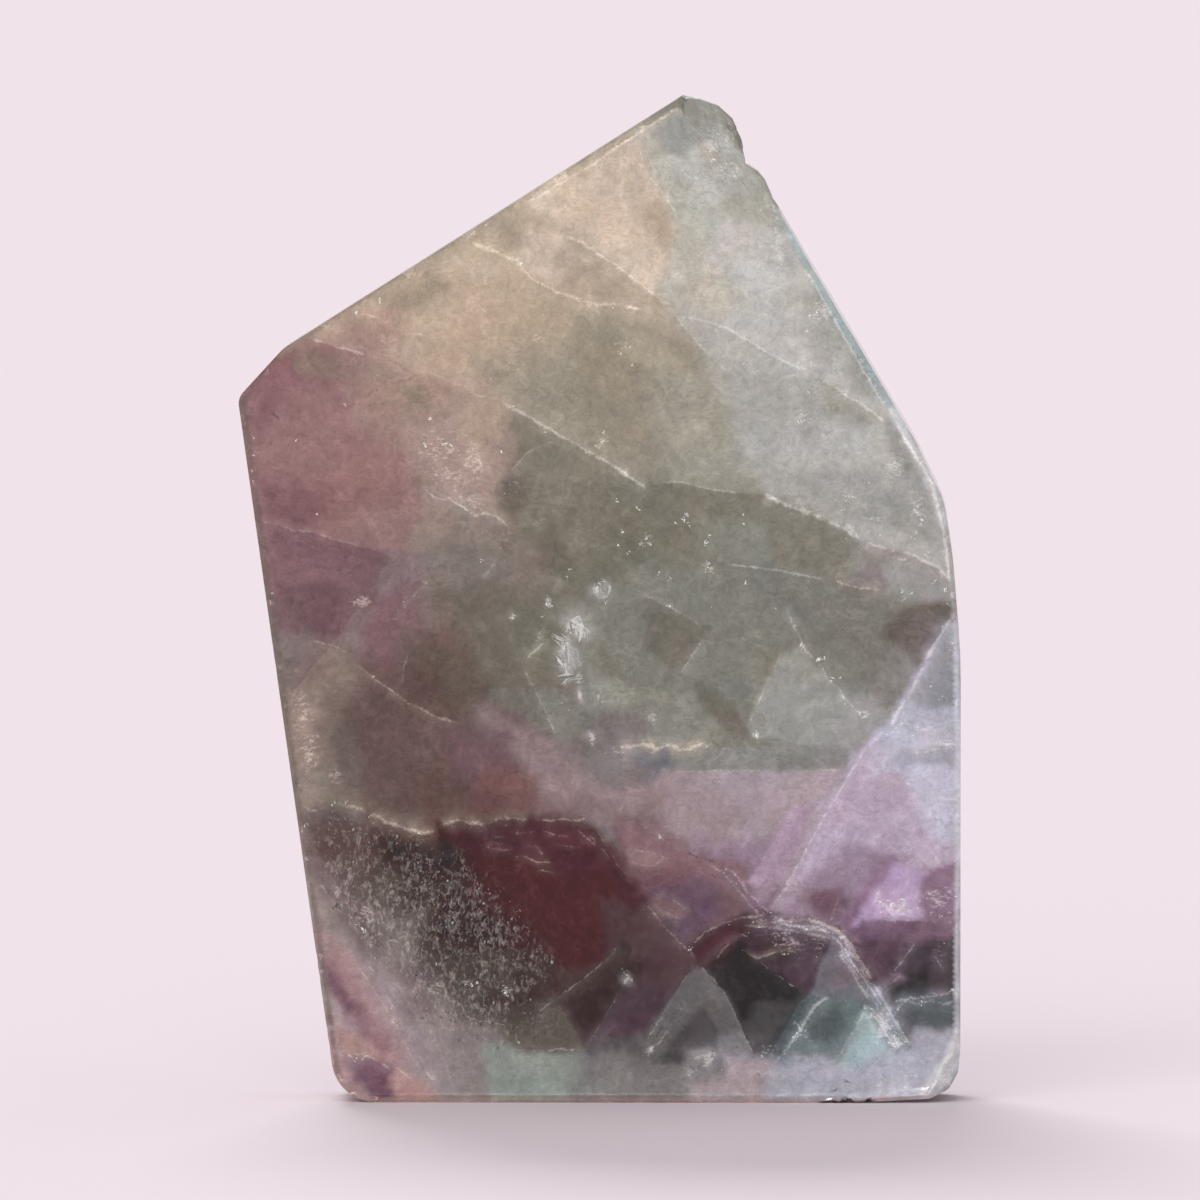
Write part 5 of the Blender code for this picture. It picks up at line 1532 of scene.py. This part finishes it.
# %% Splinters
VEIL_SPLINTERS = 0.6
FROST_SPLINTERS = 0.7
SHOWS_SPLINTERS = 0.45
ON_A_VEIL = (0.07, 0.32)
IN_FROST = (0.07, 0.34)
COOL_BLUE = 165
splinters = Crumbs()
for veil, path in veils:
    if veil.strength < SHOWS_SPLINTERS:
        continue
    steps = np.hypot(*np.diff(path, axis=0).T)
    for place_at in chance.uniform(0, 1, int(steps.sum() * VEIL_SPLINTERS * veil.strength)):
        i = min(int(place_at * len(steps)), len(steps) - 1)
        x, z = path[i] + chance.normal(0, 0.10 + veil.width * 0.5, 2)
        turn = math.atan2(*(path[i + 1] - path[i])[::-1]) + chance.normal(0, 0.6)
        long = chance.uniform(*ON_A_VEIL)
        tint = pale_colour(whiteness(STONE_COLOURS[veil.colour][2] >= COOL_BLUE), 0.70, 1.0)
        splinters.splinter(x, z, long, long * chance.uniform(0.3, 0.8), turn, tint)
# Each fleck is a tuft of pale splinters, partly a painted glint.
for x, z, size in GLINT_FLECKS:
    main_turn = chance.uniform(0, math.pi)
    for _ in range(int(chance.integers(2, 5))):
        long = size * chance.uniform(0.7, 2.2)
        wide = long * chance.uniform(0.22, 0.6)
        turn = main_turn + chance.normal(0, 0.5)
        dx, dz = chance.normal(0, size * 0.55, 2)
        splinters.splinter(x + dx, z + dz, long, wide, turn, pale_colour("film", 0.70, 1.02))
for coolness, spots in FROST.values():
    for x, z, wide, tall, turn, strength in spots:
        for _ in range(int(wide * tall * math.pi * FROST_SPLINTERS * strength)):
            angle = math.radians(turn)
            dx, dz = turned(*chance.normal(0, 0.55, 2) * (wide, tall), angle)
            long = chance.uniform(*IN_FROST)
            tint = pale_colour(whiteness(coolness), 0.56 + 0.16 * coolness, 0.86 + 0.16 * coolness)
            splinters.splinter(x + dx, z + dz, long, long * chance.uniform(0.25, 0.7),
                               angle + chance.normal(0, 0.7), tint)
splinters = splinters.build("healed_splinters")

# %% Grains
GRAINS_PER_MM2 = 2.9
GRAIN_MARGIN = 1.5
SHORTEST_GRAIN = 0.20
LONGEST_GRAIN = 0.56
GRAIN_TURN = 1.35
grains = Crumbs()
for field in GRAIN_FIELDS:
    ring = read_points(field.corners)
    low, high = ring.min(0) - GRAIN_MARGIN, ring.max(0) + GRAIN_MARGIN
    tries = chance.uniform(low, high, (int(np.prod(high - low) * GRAINS_PER_MM2), 2))
    deep = depth_inside(tries, ring)
    tries, deep = tries[deep > -GRAIN_MARGIN], deep[deep > -GRAIN_MARGIN]
    places = at_depth(tries, FRONT)
    heaps, edge = lumps(places, 1.5, 71), lumps(places, 3.0, 72)
    odds = field.strength * (0.42 + 1.5 * heaps) * smooth((deep + edge * 1.8) / 2.6 + 0.4)
    for (x, z), odd in zip(tries, odds):
        if chance.uniform() > odd:
            continue
        long = SHORTEST_GRAIN + (LONGEST_GRAIN - SHORTEST_GRAIN) * chance.uniform() ** 1.6
        wide = long * chance.uniform(0.35, 0.80)
        turn = chance.normal(GRAIN_TURN, 0.6)
        tint = pale_colour("pearl", 0.40, 0.54 + 0.34 * chance.uniform() ** 2.5)
        grains.splinter(x, z, long, wide, turn, tint)
grains = grains.build("pale_grains")

# %% Feathers
STRANDS = 9
SHORTEST_STRAND = 0.45
THINNEST_STRAND = 0.012
STRAND_ROOT = 0.2
feathers = Crumbs()


def torn_strand(path, width):
    """One thin strand of a feather: it strays from the path, swells, thins and tears off."""
    sideways = across(path)
    count = len(path)
    start, end = sorted(chance.uniform(0.0, 1.0, 2))
    end = max(end, min(1.0, start + SHORTEST_STRAND))
    picked = np.arange(int(start * (count - 1)), int(end * (count - 1)) + 1)
    if len(picked) < 3:
        return
    share = np.linspace(0.0, 1.0, len(picked))
    stray = chance.normal(0, 0.85) + chance.normal(0, 0.7) * share
    stray = stray + np.cumsum(chance.normal(0, 0.16, len(picked)))
    middle = path[picked] + sideways[picked] * stray[:, None] * width
    broad = np.sin(np.pi * share) ** 0.5 * chance.uniform(0.15, 1.0, len(picked)) * width * 0.30
    broad = np.maximum(broad, THINNEST_STRAND)
    bright = chance.uniform(0.58, 0.90)
    for i in range(len(picked) - 1):
        here, there = sideways[picked[i]] * broad[i], sideways[picked[i + 1]] * broad[i + 1]
        a, b = middle[i], middle[i + 1]
        front = np.array([a - here, b - there, b + there, a + here])
        x, z = front.mean(0)
        feathers.body(front, (x, FRONT + STRAND_ROOT, z), seen("film", bright))


for veil, path in feather_paths:
    for _ in range(STRANDS):
        torn_strand(path, veil.width)
feathers = feathers.build("torn_feathers")

# %% [markdown]
# ## Node tools
#
# The paint is as fine as the mesh, a third of a millimetre. Everything finer comes from noise
# in the material. Each effect is a node group, built once, whose inputs say how much of it
# there is: cloud, frost, grain and veil. Each takes the stone's colour and hands it on.

# %% Node tools
def add(tree, kind, inputs=None, **settings):
    """Adds a node. A plain value sets an input, and a socket is linked to it."""
    node = tree.nodes.new("ShaderNode" + kind)
    for name, value in settings.items():
        setattr(node, name, value)
    for name, value in (inputs or {}).items():
        if isinstance(value, bpy.types.NodeSocket):
            tree.links.new(value, node.inputs[name])
        else:
            node.inputs[name].default_value = value
    return node


def sums(tree, operation, first, second=0.0, third=0.0):
    """One sum on numbers: adding, multiplying, comparing and so on."""
    return add(tree, "Math", {0: first, 1: second, 2: third}, operation=operation).outputs[0]


def step_up(tree, value, low, high):
    """0 below `low`, 1 above `high`, and an S between."""
    inputs = {"Value": value, "From Min": low, "From Max": high}
    return add(tree, "MapRange", inputs, interpolation_type="SMOOTHSTEP").outputs["Result"]


def fractal(tree, where, size, detail=4.0, roughness=0.6, bent=0.0):
    """Noise from 0 to 1 with lumps of `size` millimetres."""
    inputs = {"Vector": where, "Scale": 1.0 / (size * MM), "Detail": detail,
              "Roughness": roughness, "Distortion": bent}
    return add(tree, "TexNoise", inputs).outputs["Fac"]


def colour_mix(tree, blend, share, first, second):
    """Two colours blended in one of the usual ways."""
    inputs = {0: share, 6: first, 7: second}
    return add(tree, "Mix", inputs, data_type="RGBA", blend_type=blend).outputs[2]


def scaled(tree, colour, factor):
    """A colour made brighter or dimmer by a number."""
    return add(tree, "VectorMath", {0: colour, "Scale": factor}, operation="SCALE").outputs[0]


def combed(tree, where, turn, stretch):
    """Places turned about Y and stretched, so that the noise read at them runs one way."""
    inputs = {"Vector": where, "Rotation": (0.0, turn, 0.0), "Scale": stretch}
    return add(tree, "Mapping", inputs).outputs["Vector"]


def new_group(name, inputs, outputs):
    """An empty node group with named sockets: a colour, a place or a number each."""
    kinds = {"colour": "NodeSocketColor", "place": "NodeSocketVector", "number": "NodeSocketFloat"}
    tree = bpy.data.node_groups.new(name, "ShaderNodeTree")
    for label, (kind, value) in inputs.items():
        socket = tree.interface.new_socket(label, in_out="INPUT", socket_type=kinds[kind])
        if value is not None:
            socket.default_value = value
    for label, kind in outputs.items():
        tree.interface.new_socket(label, in_out="OUTPUT", socket_type=kinds[kind])
    return tree, tree.nodes.new("NodeGroupInput").outputs, tree.nodes.new("NodeGroupOutput").inputs


# %% Cloud
COMB_TURN = math.radians(-35.0)
COOL_CLOUD = (0.975, 1.005, 1.02, 1.0)
WARM_CLOUD = (1.02, 1.0, 0.975, 1.0)
MILK_COLOUR = (1.0, 0.88, 0.90)
DARKEST = (0.002, 0.002, 0.002)


def build_cloud():
    """Slow clouds, finer mottle and a dusting of very fine grain over any stone colour."""
    tree, given, result = new_group(
        "stone_cloud",
        {"Colour": ("colour", None), "Place": ("place", None), "Clouds": ("number", 0.11),
         "Mottle": ("number", 0.19), "Dust": ("number", 0.12),
         "Wisps": ("number", 0.20), "Milk": ("number", 0.085)},
        {"Colour": "colour"},
    )

    def swung(light, label, size, detail, bent):
        """The light made to rise and fall by noise of one size."""
        swing = sums(tree, "SUBTRACT", fractal(tree, given["Place"], size, detail, 0.62, bent), 0.5)
        return sums(tree, "MULTIPLY_ADD", sums(tree, "MULTIPLY", swing, 4.0), given[label], light)

    light = swung(1.0, "Clouds", 3.4, 4.0, 0.6)
    light = swung(light, "Mottle", 0.85, 4.0, 0.9)
    along = combed(tree, given["Place"], COMB_TURN, (0.45, 1.0, 1.0))
    for size, sharp, thick, thin in ((2.2, 15.0, 0.45, 0.68), (0.9, 11.0, 0.50, 0.70)):
        strands = fractal(tree, along, size, 4.0, 0.66, 1.4)
        strands = sums(tree, "ABSOLUTE", sums(tree, "SUBTRACT", strands, 0.5))
        strands = sums(tree, "MAXIMUM", sums(tree, "MULTIPLY_ADD", strands, -sharp, 1.0), 0.0)
        patches = step_up(tree, fractal(tree, given["Place"], size * 1.9, 2.0, 0.5, 0.5), thick, thin)
        wisp = sums(tree, "MULTIPLY", sums(tree, "MULTIPLY", strands, patches), given["Wisps"])
        light = sums(tree, "ADD", light, wisp)
    warm = step_up(tree, fractal(tree, given["Place"], 5.5, 3.0), 0.35, 0.65)
    tinted = colour_mix(tree, "MIX", warm, COOL_CLOUD, WARM_CLOUD)
    shaded = colour_mix(tree, "MULTIPLY", 1.0, given["Colour"], tinted)
    swing = sums(tree, "MULTIPLY", sums(tree, "SUBTRACT", light, 1.0), given["Milk"])
    milk = scaled(tree, MILK_COLOUR, swing)
    light = swung(light, "Dust", 0.20, 2.0, 0.6)
    dusty = scaled(tree, shaded, light)
    lit = add(tree, "VectorMath", {0: dusty, 1: milk}, operation="ADD").outputs[0]
    least = add(tree, "VectorMath", {0: lit, 1: DARKEST}, operation="MAXIMUM").outputs[0]
    tree.links.new(least, result["Colour"])
    return tree


# %% Frost
WARM_FROST = (1.0, 0.86, 0.72, 1.0)
COOL_FROST = (0.93, 0.97, 1.0, 1.0)


def build_frost():
    """Feathery pale splinters, thicker where the mask is stronger."""
    tree, given, result = new_group(
        "frost",
        {"Colour": ("colour", None), "Place": ("place", None), "Mask": ("number", 0.0),
         "Coolness": ("number", 0.5), "Light": ("number", 0.40)},
        {"Colour": "colour", "Splinters": "number"},
    )
    along = combed(tree, given["Place"], COMB_TURN, (0.5, 1.0, 1.0))
    coarse = fractal(tree, along, 0.8, 5.0, 0.72, 1.8)
    fine = fractal(tree, along, 0.26, 2.0, 0.6, 1.2)
    blend = sums(tree, "MULTIPLY_ADD", fine, 0.42, sums(tree, "MULTIPLY", coarse, 0.58))
    floor_level = sums(tree, "MULTIPLY_ADD", given["Mask"], -0.19, 0.605)
    over = sums(tree, "SUBTRACT", blend, floor_level)
    splinters = sums(tree, "MULTIPLY", step_up(tree, over, 0.0, 0.11),
                     step_up(tree, given["Mask"], 0.02, 0.55))
    haze = sums(tree, "MULTIPLY", given["Mask"], 0.07)
    amount = sums(tree, "ADD", splinters, haze)
    tint = colour_mix(tree, "MIX", given["Coolness"], WARM_FROST, COOL_FROST)
    light = scaled(tree, tint, sums(tree, "MULTIPLY", amount, given["Light"]))
    tree.links.new(colour_mix(tree, "ADD", 1.0, given["Colour"], light), result["Colour"])
    tree.links.new(splinters, result["Splinters"])
    return tree


# %% Grain
CRUMB_LIGHT = (0.28, 0.268, 0.240)


def build_grain():
    """Coarse pale grains in darker stone: crumbs of uneven shape, some bright, most dull."""
    tree, given, result = new_group(
        "coarse_grain",
        {"Colour": ("colour", None), "Place": ("place", None), "Mask": ("number", 0.0)},
        {"Colour": "colour"},
    )
    stood = combed(tree, given["Place"], COMB_TURN * 0.4, (1.0, 1.0, 0.62))
    crumbs = fractal(tree, stood, 0.40, 3.0, 0.66, 0.7)
    heaps = fractal(tree, given["Place"], 2.4, 3.0, 0.6, 0.8)
    level = sums(tree, "MULTIPLY_ADD", given["Mask"], -0.13, 0.645)
    level = sums(tree, "MULTIPLY_ADD", sums(tree, "SUBTRACT", heaps, 0.5), -0.35, level)
    over = sums(tree, "SUBTRACT", crumbs, level)
    dull, shiny = step_up(tree, over, -0.05, 0.06), step_up(tree, over, 0.05, 0.17)
    crumb_light = sums(tree, "MULTIPLY_ADD", shiny, 0.75, sums(tree, "MULTIPLY", dull, 0.42))
    crumb_light = sums(tree, "MULTIPLY", crumb_light, step_up(tree, given["Mask"], 0.02, 0.5))
    gloom = sums(tree, "MULTIPLY_ADD", given["Mask"], -0.30, 1.0)
    dim = scaled(tree, given["Colour"], gloom)
    light = scaled(tree, CRUMB_LIGHT, crumb_light)
    tree.links.new(colour_mix(tree, "ADD", 1.0, dim, light), result["Colour"])
    return tree


# %% Torn veils
WARM_VEIL = (0.34, 0.300, 0.245, 1.0)
COOL_VEIL = (0.34, 0.355, 0.37, 1.0)


def build_torn():
    """How a healed crack is torn: how far its line strays, and how its light comes and goes."""
    tree, given, result = new_group(
        "torn_edge", {"Place": ("place", None), "Stray": ("number", 0.42)},
        {"Tear": "number", "Astray": "number"},
    )
    tear = fractal(tree, given["Place"], 0.36, 3.0, 0.72, 1.0)
    tree.links.new(sums(tree, "MULTIPLY_ADD", tear, 2.2, -1.1), result["Tear"])
    astray = sums(tree, "SUBTRACT", fractal(tree, given["Place"], 0.7, 5.0, 0.75, 0.0), 0.5)
    tree.links.new(sums(tree, "MULTIPLY", astray, given["Stray"]), result["Astray"])
    return tree


def build_veil():
    """One veil: the colour behind it ends at its line, and the line is torn to shreds."""
    tree, given, result = new_group(
        "veil",
        {"Colour": ("colour", None), "Tear": ("number", 0.0), "Astray": ("number", 0.0),
         "Distance": ("number", 1.0), "Strength": ("number", 0.0), "Coolness": ("number", 0.5),
         "Width": ("number", 0.2), "Behind": ("colour", None), "Power": ("number", 0.0),
         "Falling Side": ("number", -1.0)},
        {"Colour": "colour"},
    )
    side = sums(tree, "ADD", given["Falling Side"], given["Astray"])
    share = sums(tree, "MULTIPLY", step_up(tree, side, -0.05, 0.05), given["Power"])
    colour = colour_mix(tree, "MIX", share, given["Colour"], given["Behind"])
    off = sums(tree, "ABSOLUTE", sums(tree, "ADD", given["Distance"], given["Astray"]))
    closeness = sums(tree, "SUBTRACT", 1.0, sums(tree, "DIVIDE", off, given["Width"]))
    closeness = sums(tree, "MAXIMUM", closeness, 0.0)
    pale = sums(tree, "MULTIPLY", closeness, sums(tree, "MAXIMUM", given["Strength"], 0.0))
    darkness = sums(tree, "MAXIMUM", sums(tree, "MULTIPLY", given["Strength"], -1.0), 0.0)
    dark = sums(tree, "MULTIPLY", closeness, darkness)
    torn = sums(tree, "MULTIPLY", step_up(tree, sums(tree, "ADD", pale, given["Tear"]), 0.0, 0.75),
                step_up(tree, pale, 0.02, 0.35))
    tint = colour_mix(tree, "MIX", given["Coolness"], WARM_VEIL, COOL_VEIL)
    lit = colour_mix(tree, "ADD", 1.0, colour, scaled(tree, tint, torn))
    cut = sums(tree, "MULTIPLY", step_up(tree, sums(tree, "ADD", dark, given["Tear"]), 0.05, 0.6),
               step_up(tree, dark, 0.02, 0.3))
    dim = scaled(tree, lit, sums(tree, "MULTIPLY_ADD", cut, -0.55, 1.0))
    tree.links.new(dim, result["Colour"])
    return tree


CLOUD, FROSTING, GRAINING = build_cloud(), build_frost(), build_grain()
TORN, VEILING = build_torn(), build_veil()
print("node groups:", [group.name for group in bpy.data.node_groups])

# %% Polished stone
NEUTRAL = (0.5, 0.5, 0.5, 1.0)
FLUORITE_IOR = 1.434
CLEARNESS = 0.45
POLISHED = 0.06
CRUMBLY = 0.3
BEST_POLISH = 0.02
SMEARS = 0.10
UNPOLISHED = 0.38


def painted(tree, name):
    """The four numbers that the mesh carries under one name."""
    attribute = add(tree, "Attribute", attribute_name=name).outputs
    red, green, blue = add(tree, "SeparateColor", {0: attribute["Color"]}).outputs
    return red, green, blue, attribute["Alpha"]


def handed_on(tree, group, inputs):
    """The colour that a node group hands on."""
    return add(tree, "Group", inputs, node_tree=group).outputs["Colour"]


def polished_stone():
    """The slice's own material: cloudy stone under a mirror polish."""
    material, shader = plain_material("polished_fluorite", NEUTRAL, POLISHED)
    tree = material.node_tree
    where = add(tree, "TexCoord").outputs["Object"]
    colour = add(tree, "Attribute", attribute_name="growth_colour").outputs["Color"]
    frost_mask, grain_mask, _, unpolished = painted(tree, "stone_marks")
    *falling_sides, coolness = painted(tree, "falling_sides")
    torn = add(tree, "Group", {"Place": where}, node_tree=TORN).outputs
    for i, falling_side in enumerate(falling_sides):
        distance, strength, line_coolness, width = painted(tree, f"veil_line_{i}")
        behind = add(tree, "Attribute", attribute_name=f"behind_veil_{i}").outputs
        colour = handed_on(tree, VEILING, {
            "Colour": colour, "Tear": torn["Tear"], "Astray": torn["Astray"],
            "Distance": distance, "Strength": strength, "Coolness": line_coolness, "Width": width,
            "Behind": behind["Color"], "Power": behind["Alpha"], "Falling Side": falling_side,
        })
    colour = handed_on(tree, CLOUD, {"Colour": colour, "Place": where})
    colour = handed_on(tree, GRAINING, {"Colour": colour, "Place": where, "Mask": grain_mask})
    colour = handed_on(tree, FROSTING, {
        "Colour": colour, "Place": where, "Mask": frost_mask, "Coolness": coolness,
    })
    tree.links.new(colour, shader.inputs["Base Color"])
    wear = sums(tree, "MULTIPLY_ADD", fractal(tree, where, 2.2, 2.0), SMEARS, BEST_POLISH)
    wear = sums(tree, "MULTIPLY_ADD", unpolished, UNPOLISHED, wear)
    tree.links.new(wear, shader.inputs["Roughness"])
    shader.inputs["IOR"].default_value = FLUORITE_IOR
    shader.inputs["Transmission Weight"].default_value = CLEARNESS
    return material


slab.data.materials.append(polished_stone())


def crumb_stone():
    """The finish of splinters, grains and feathers: pale, a little rough, never mirror smooth."""
    material, shader = plain_material("pale_crumbs", NEUTRAL, CRUMBLY)
    tree = material.node_tree
    where = add(tree, "TexCoord").outputs["Object"]
    own = add(tree, "Attribute", attribute_name="crumb_colour").outputs["Color"]
    flaws = sums(tree, "MULTIPLY_ADD", fractal(tree, where, 0.16, 2.0), 0.9, 0.55)
    tree.links.new(scaled(tree, own, flaws), shader.inputs["Base Color"])
    rough = sums(tree, "MULTIPLY_ADD", fractal(tree, where, 0.5, 2.0), 0.3, 0.15)
    tree.links.new(rough, shader.inputs["Roughness"])
    return material


crumb_finish = crumb_stone()
for piece in (splinters, grains, feathers):
    piece.data.materials.append(crumb_finish)

# %% Everything rides on the slice's body
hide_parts("fluorite_slice")
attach(slab, "root")
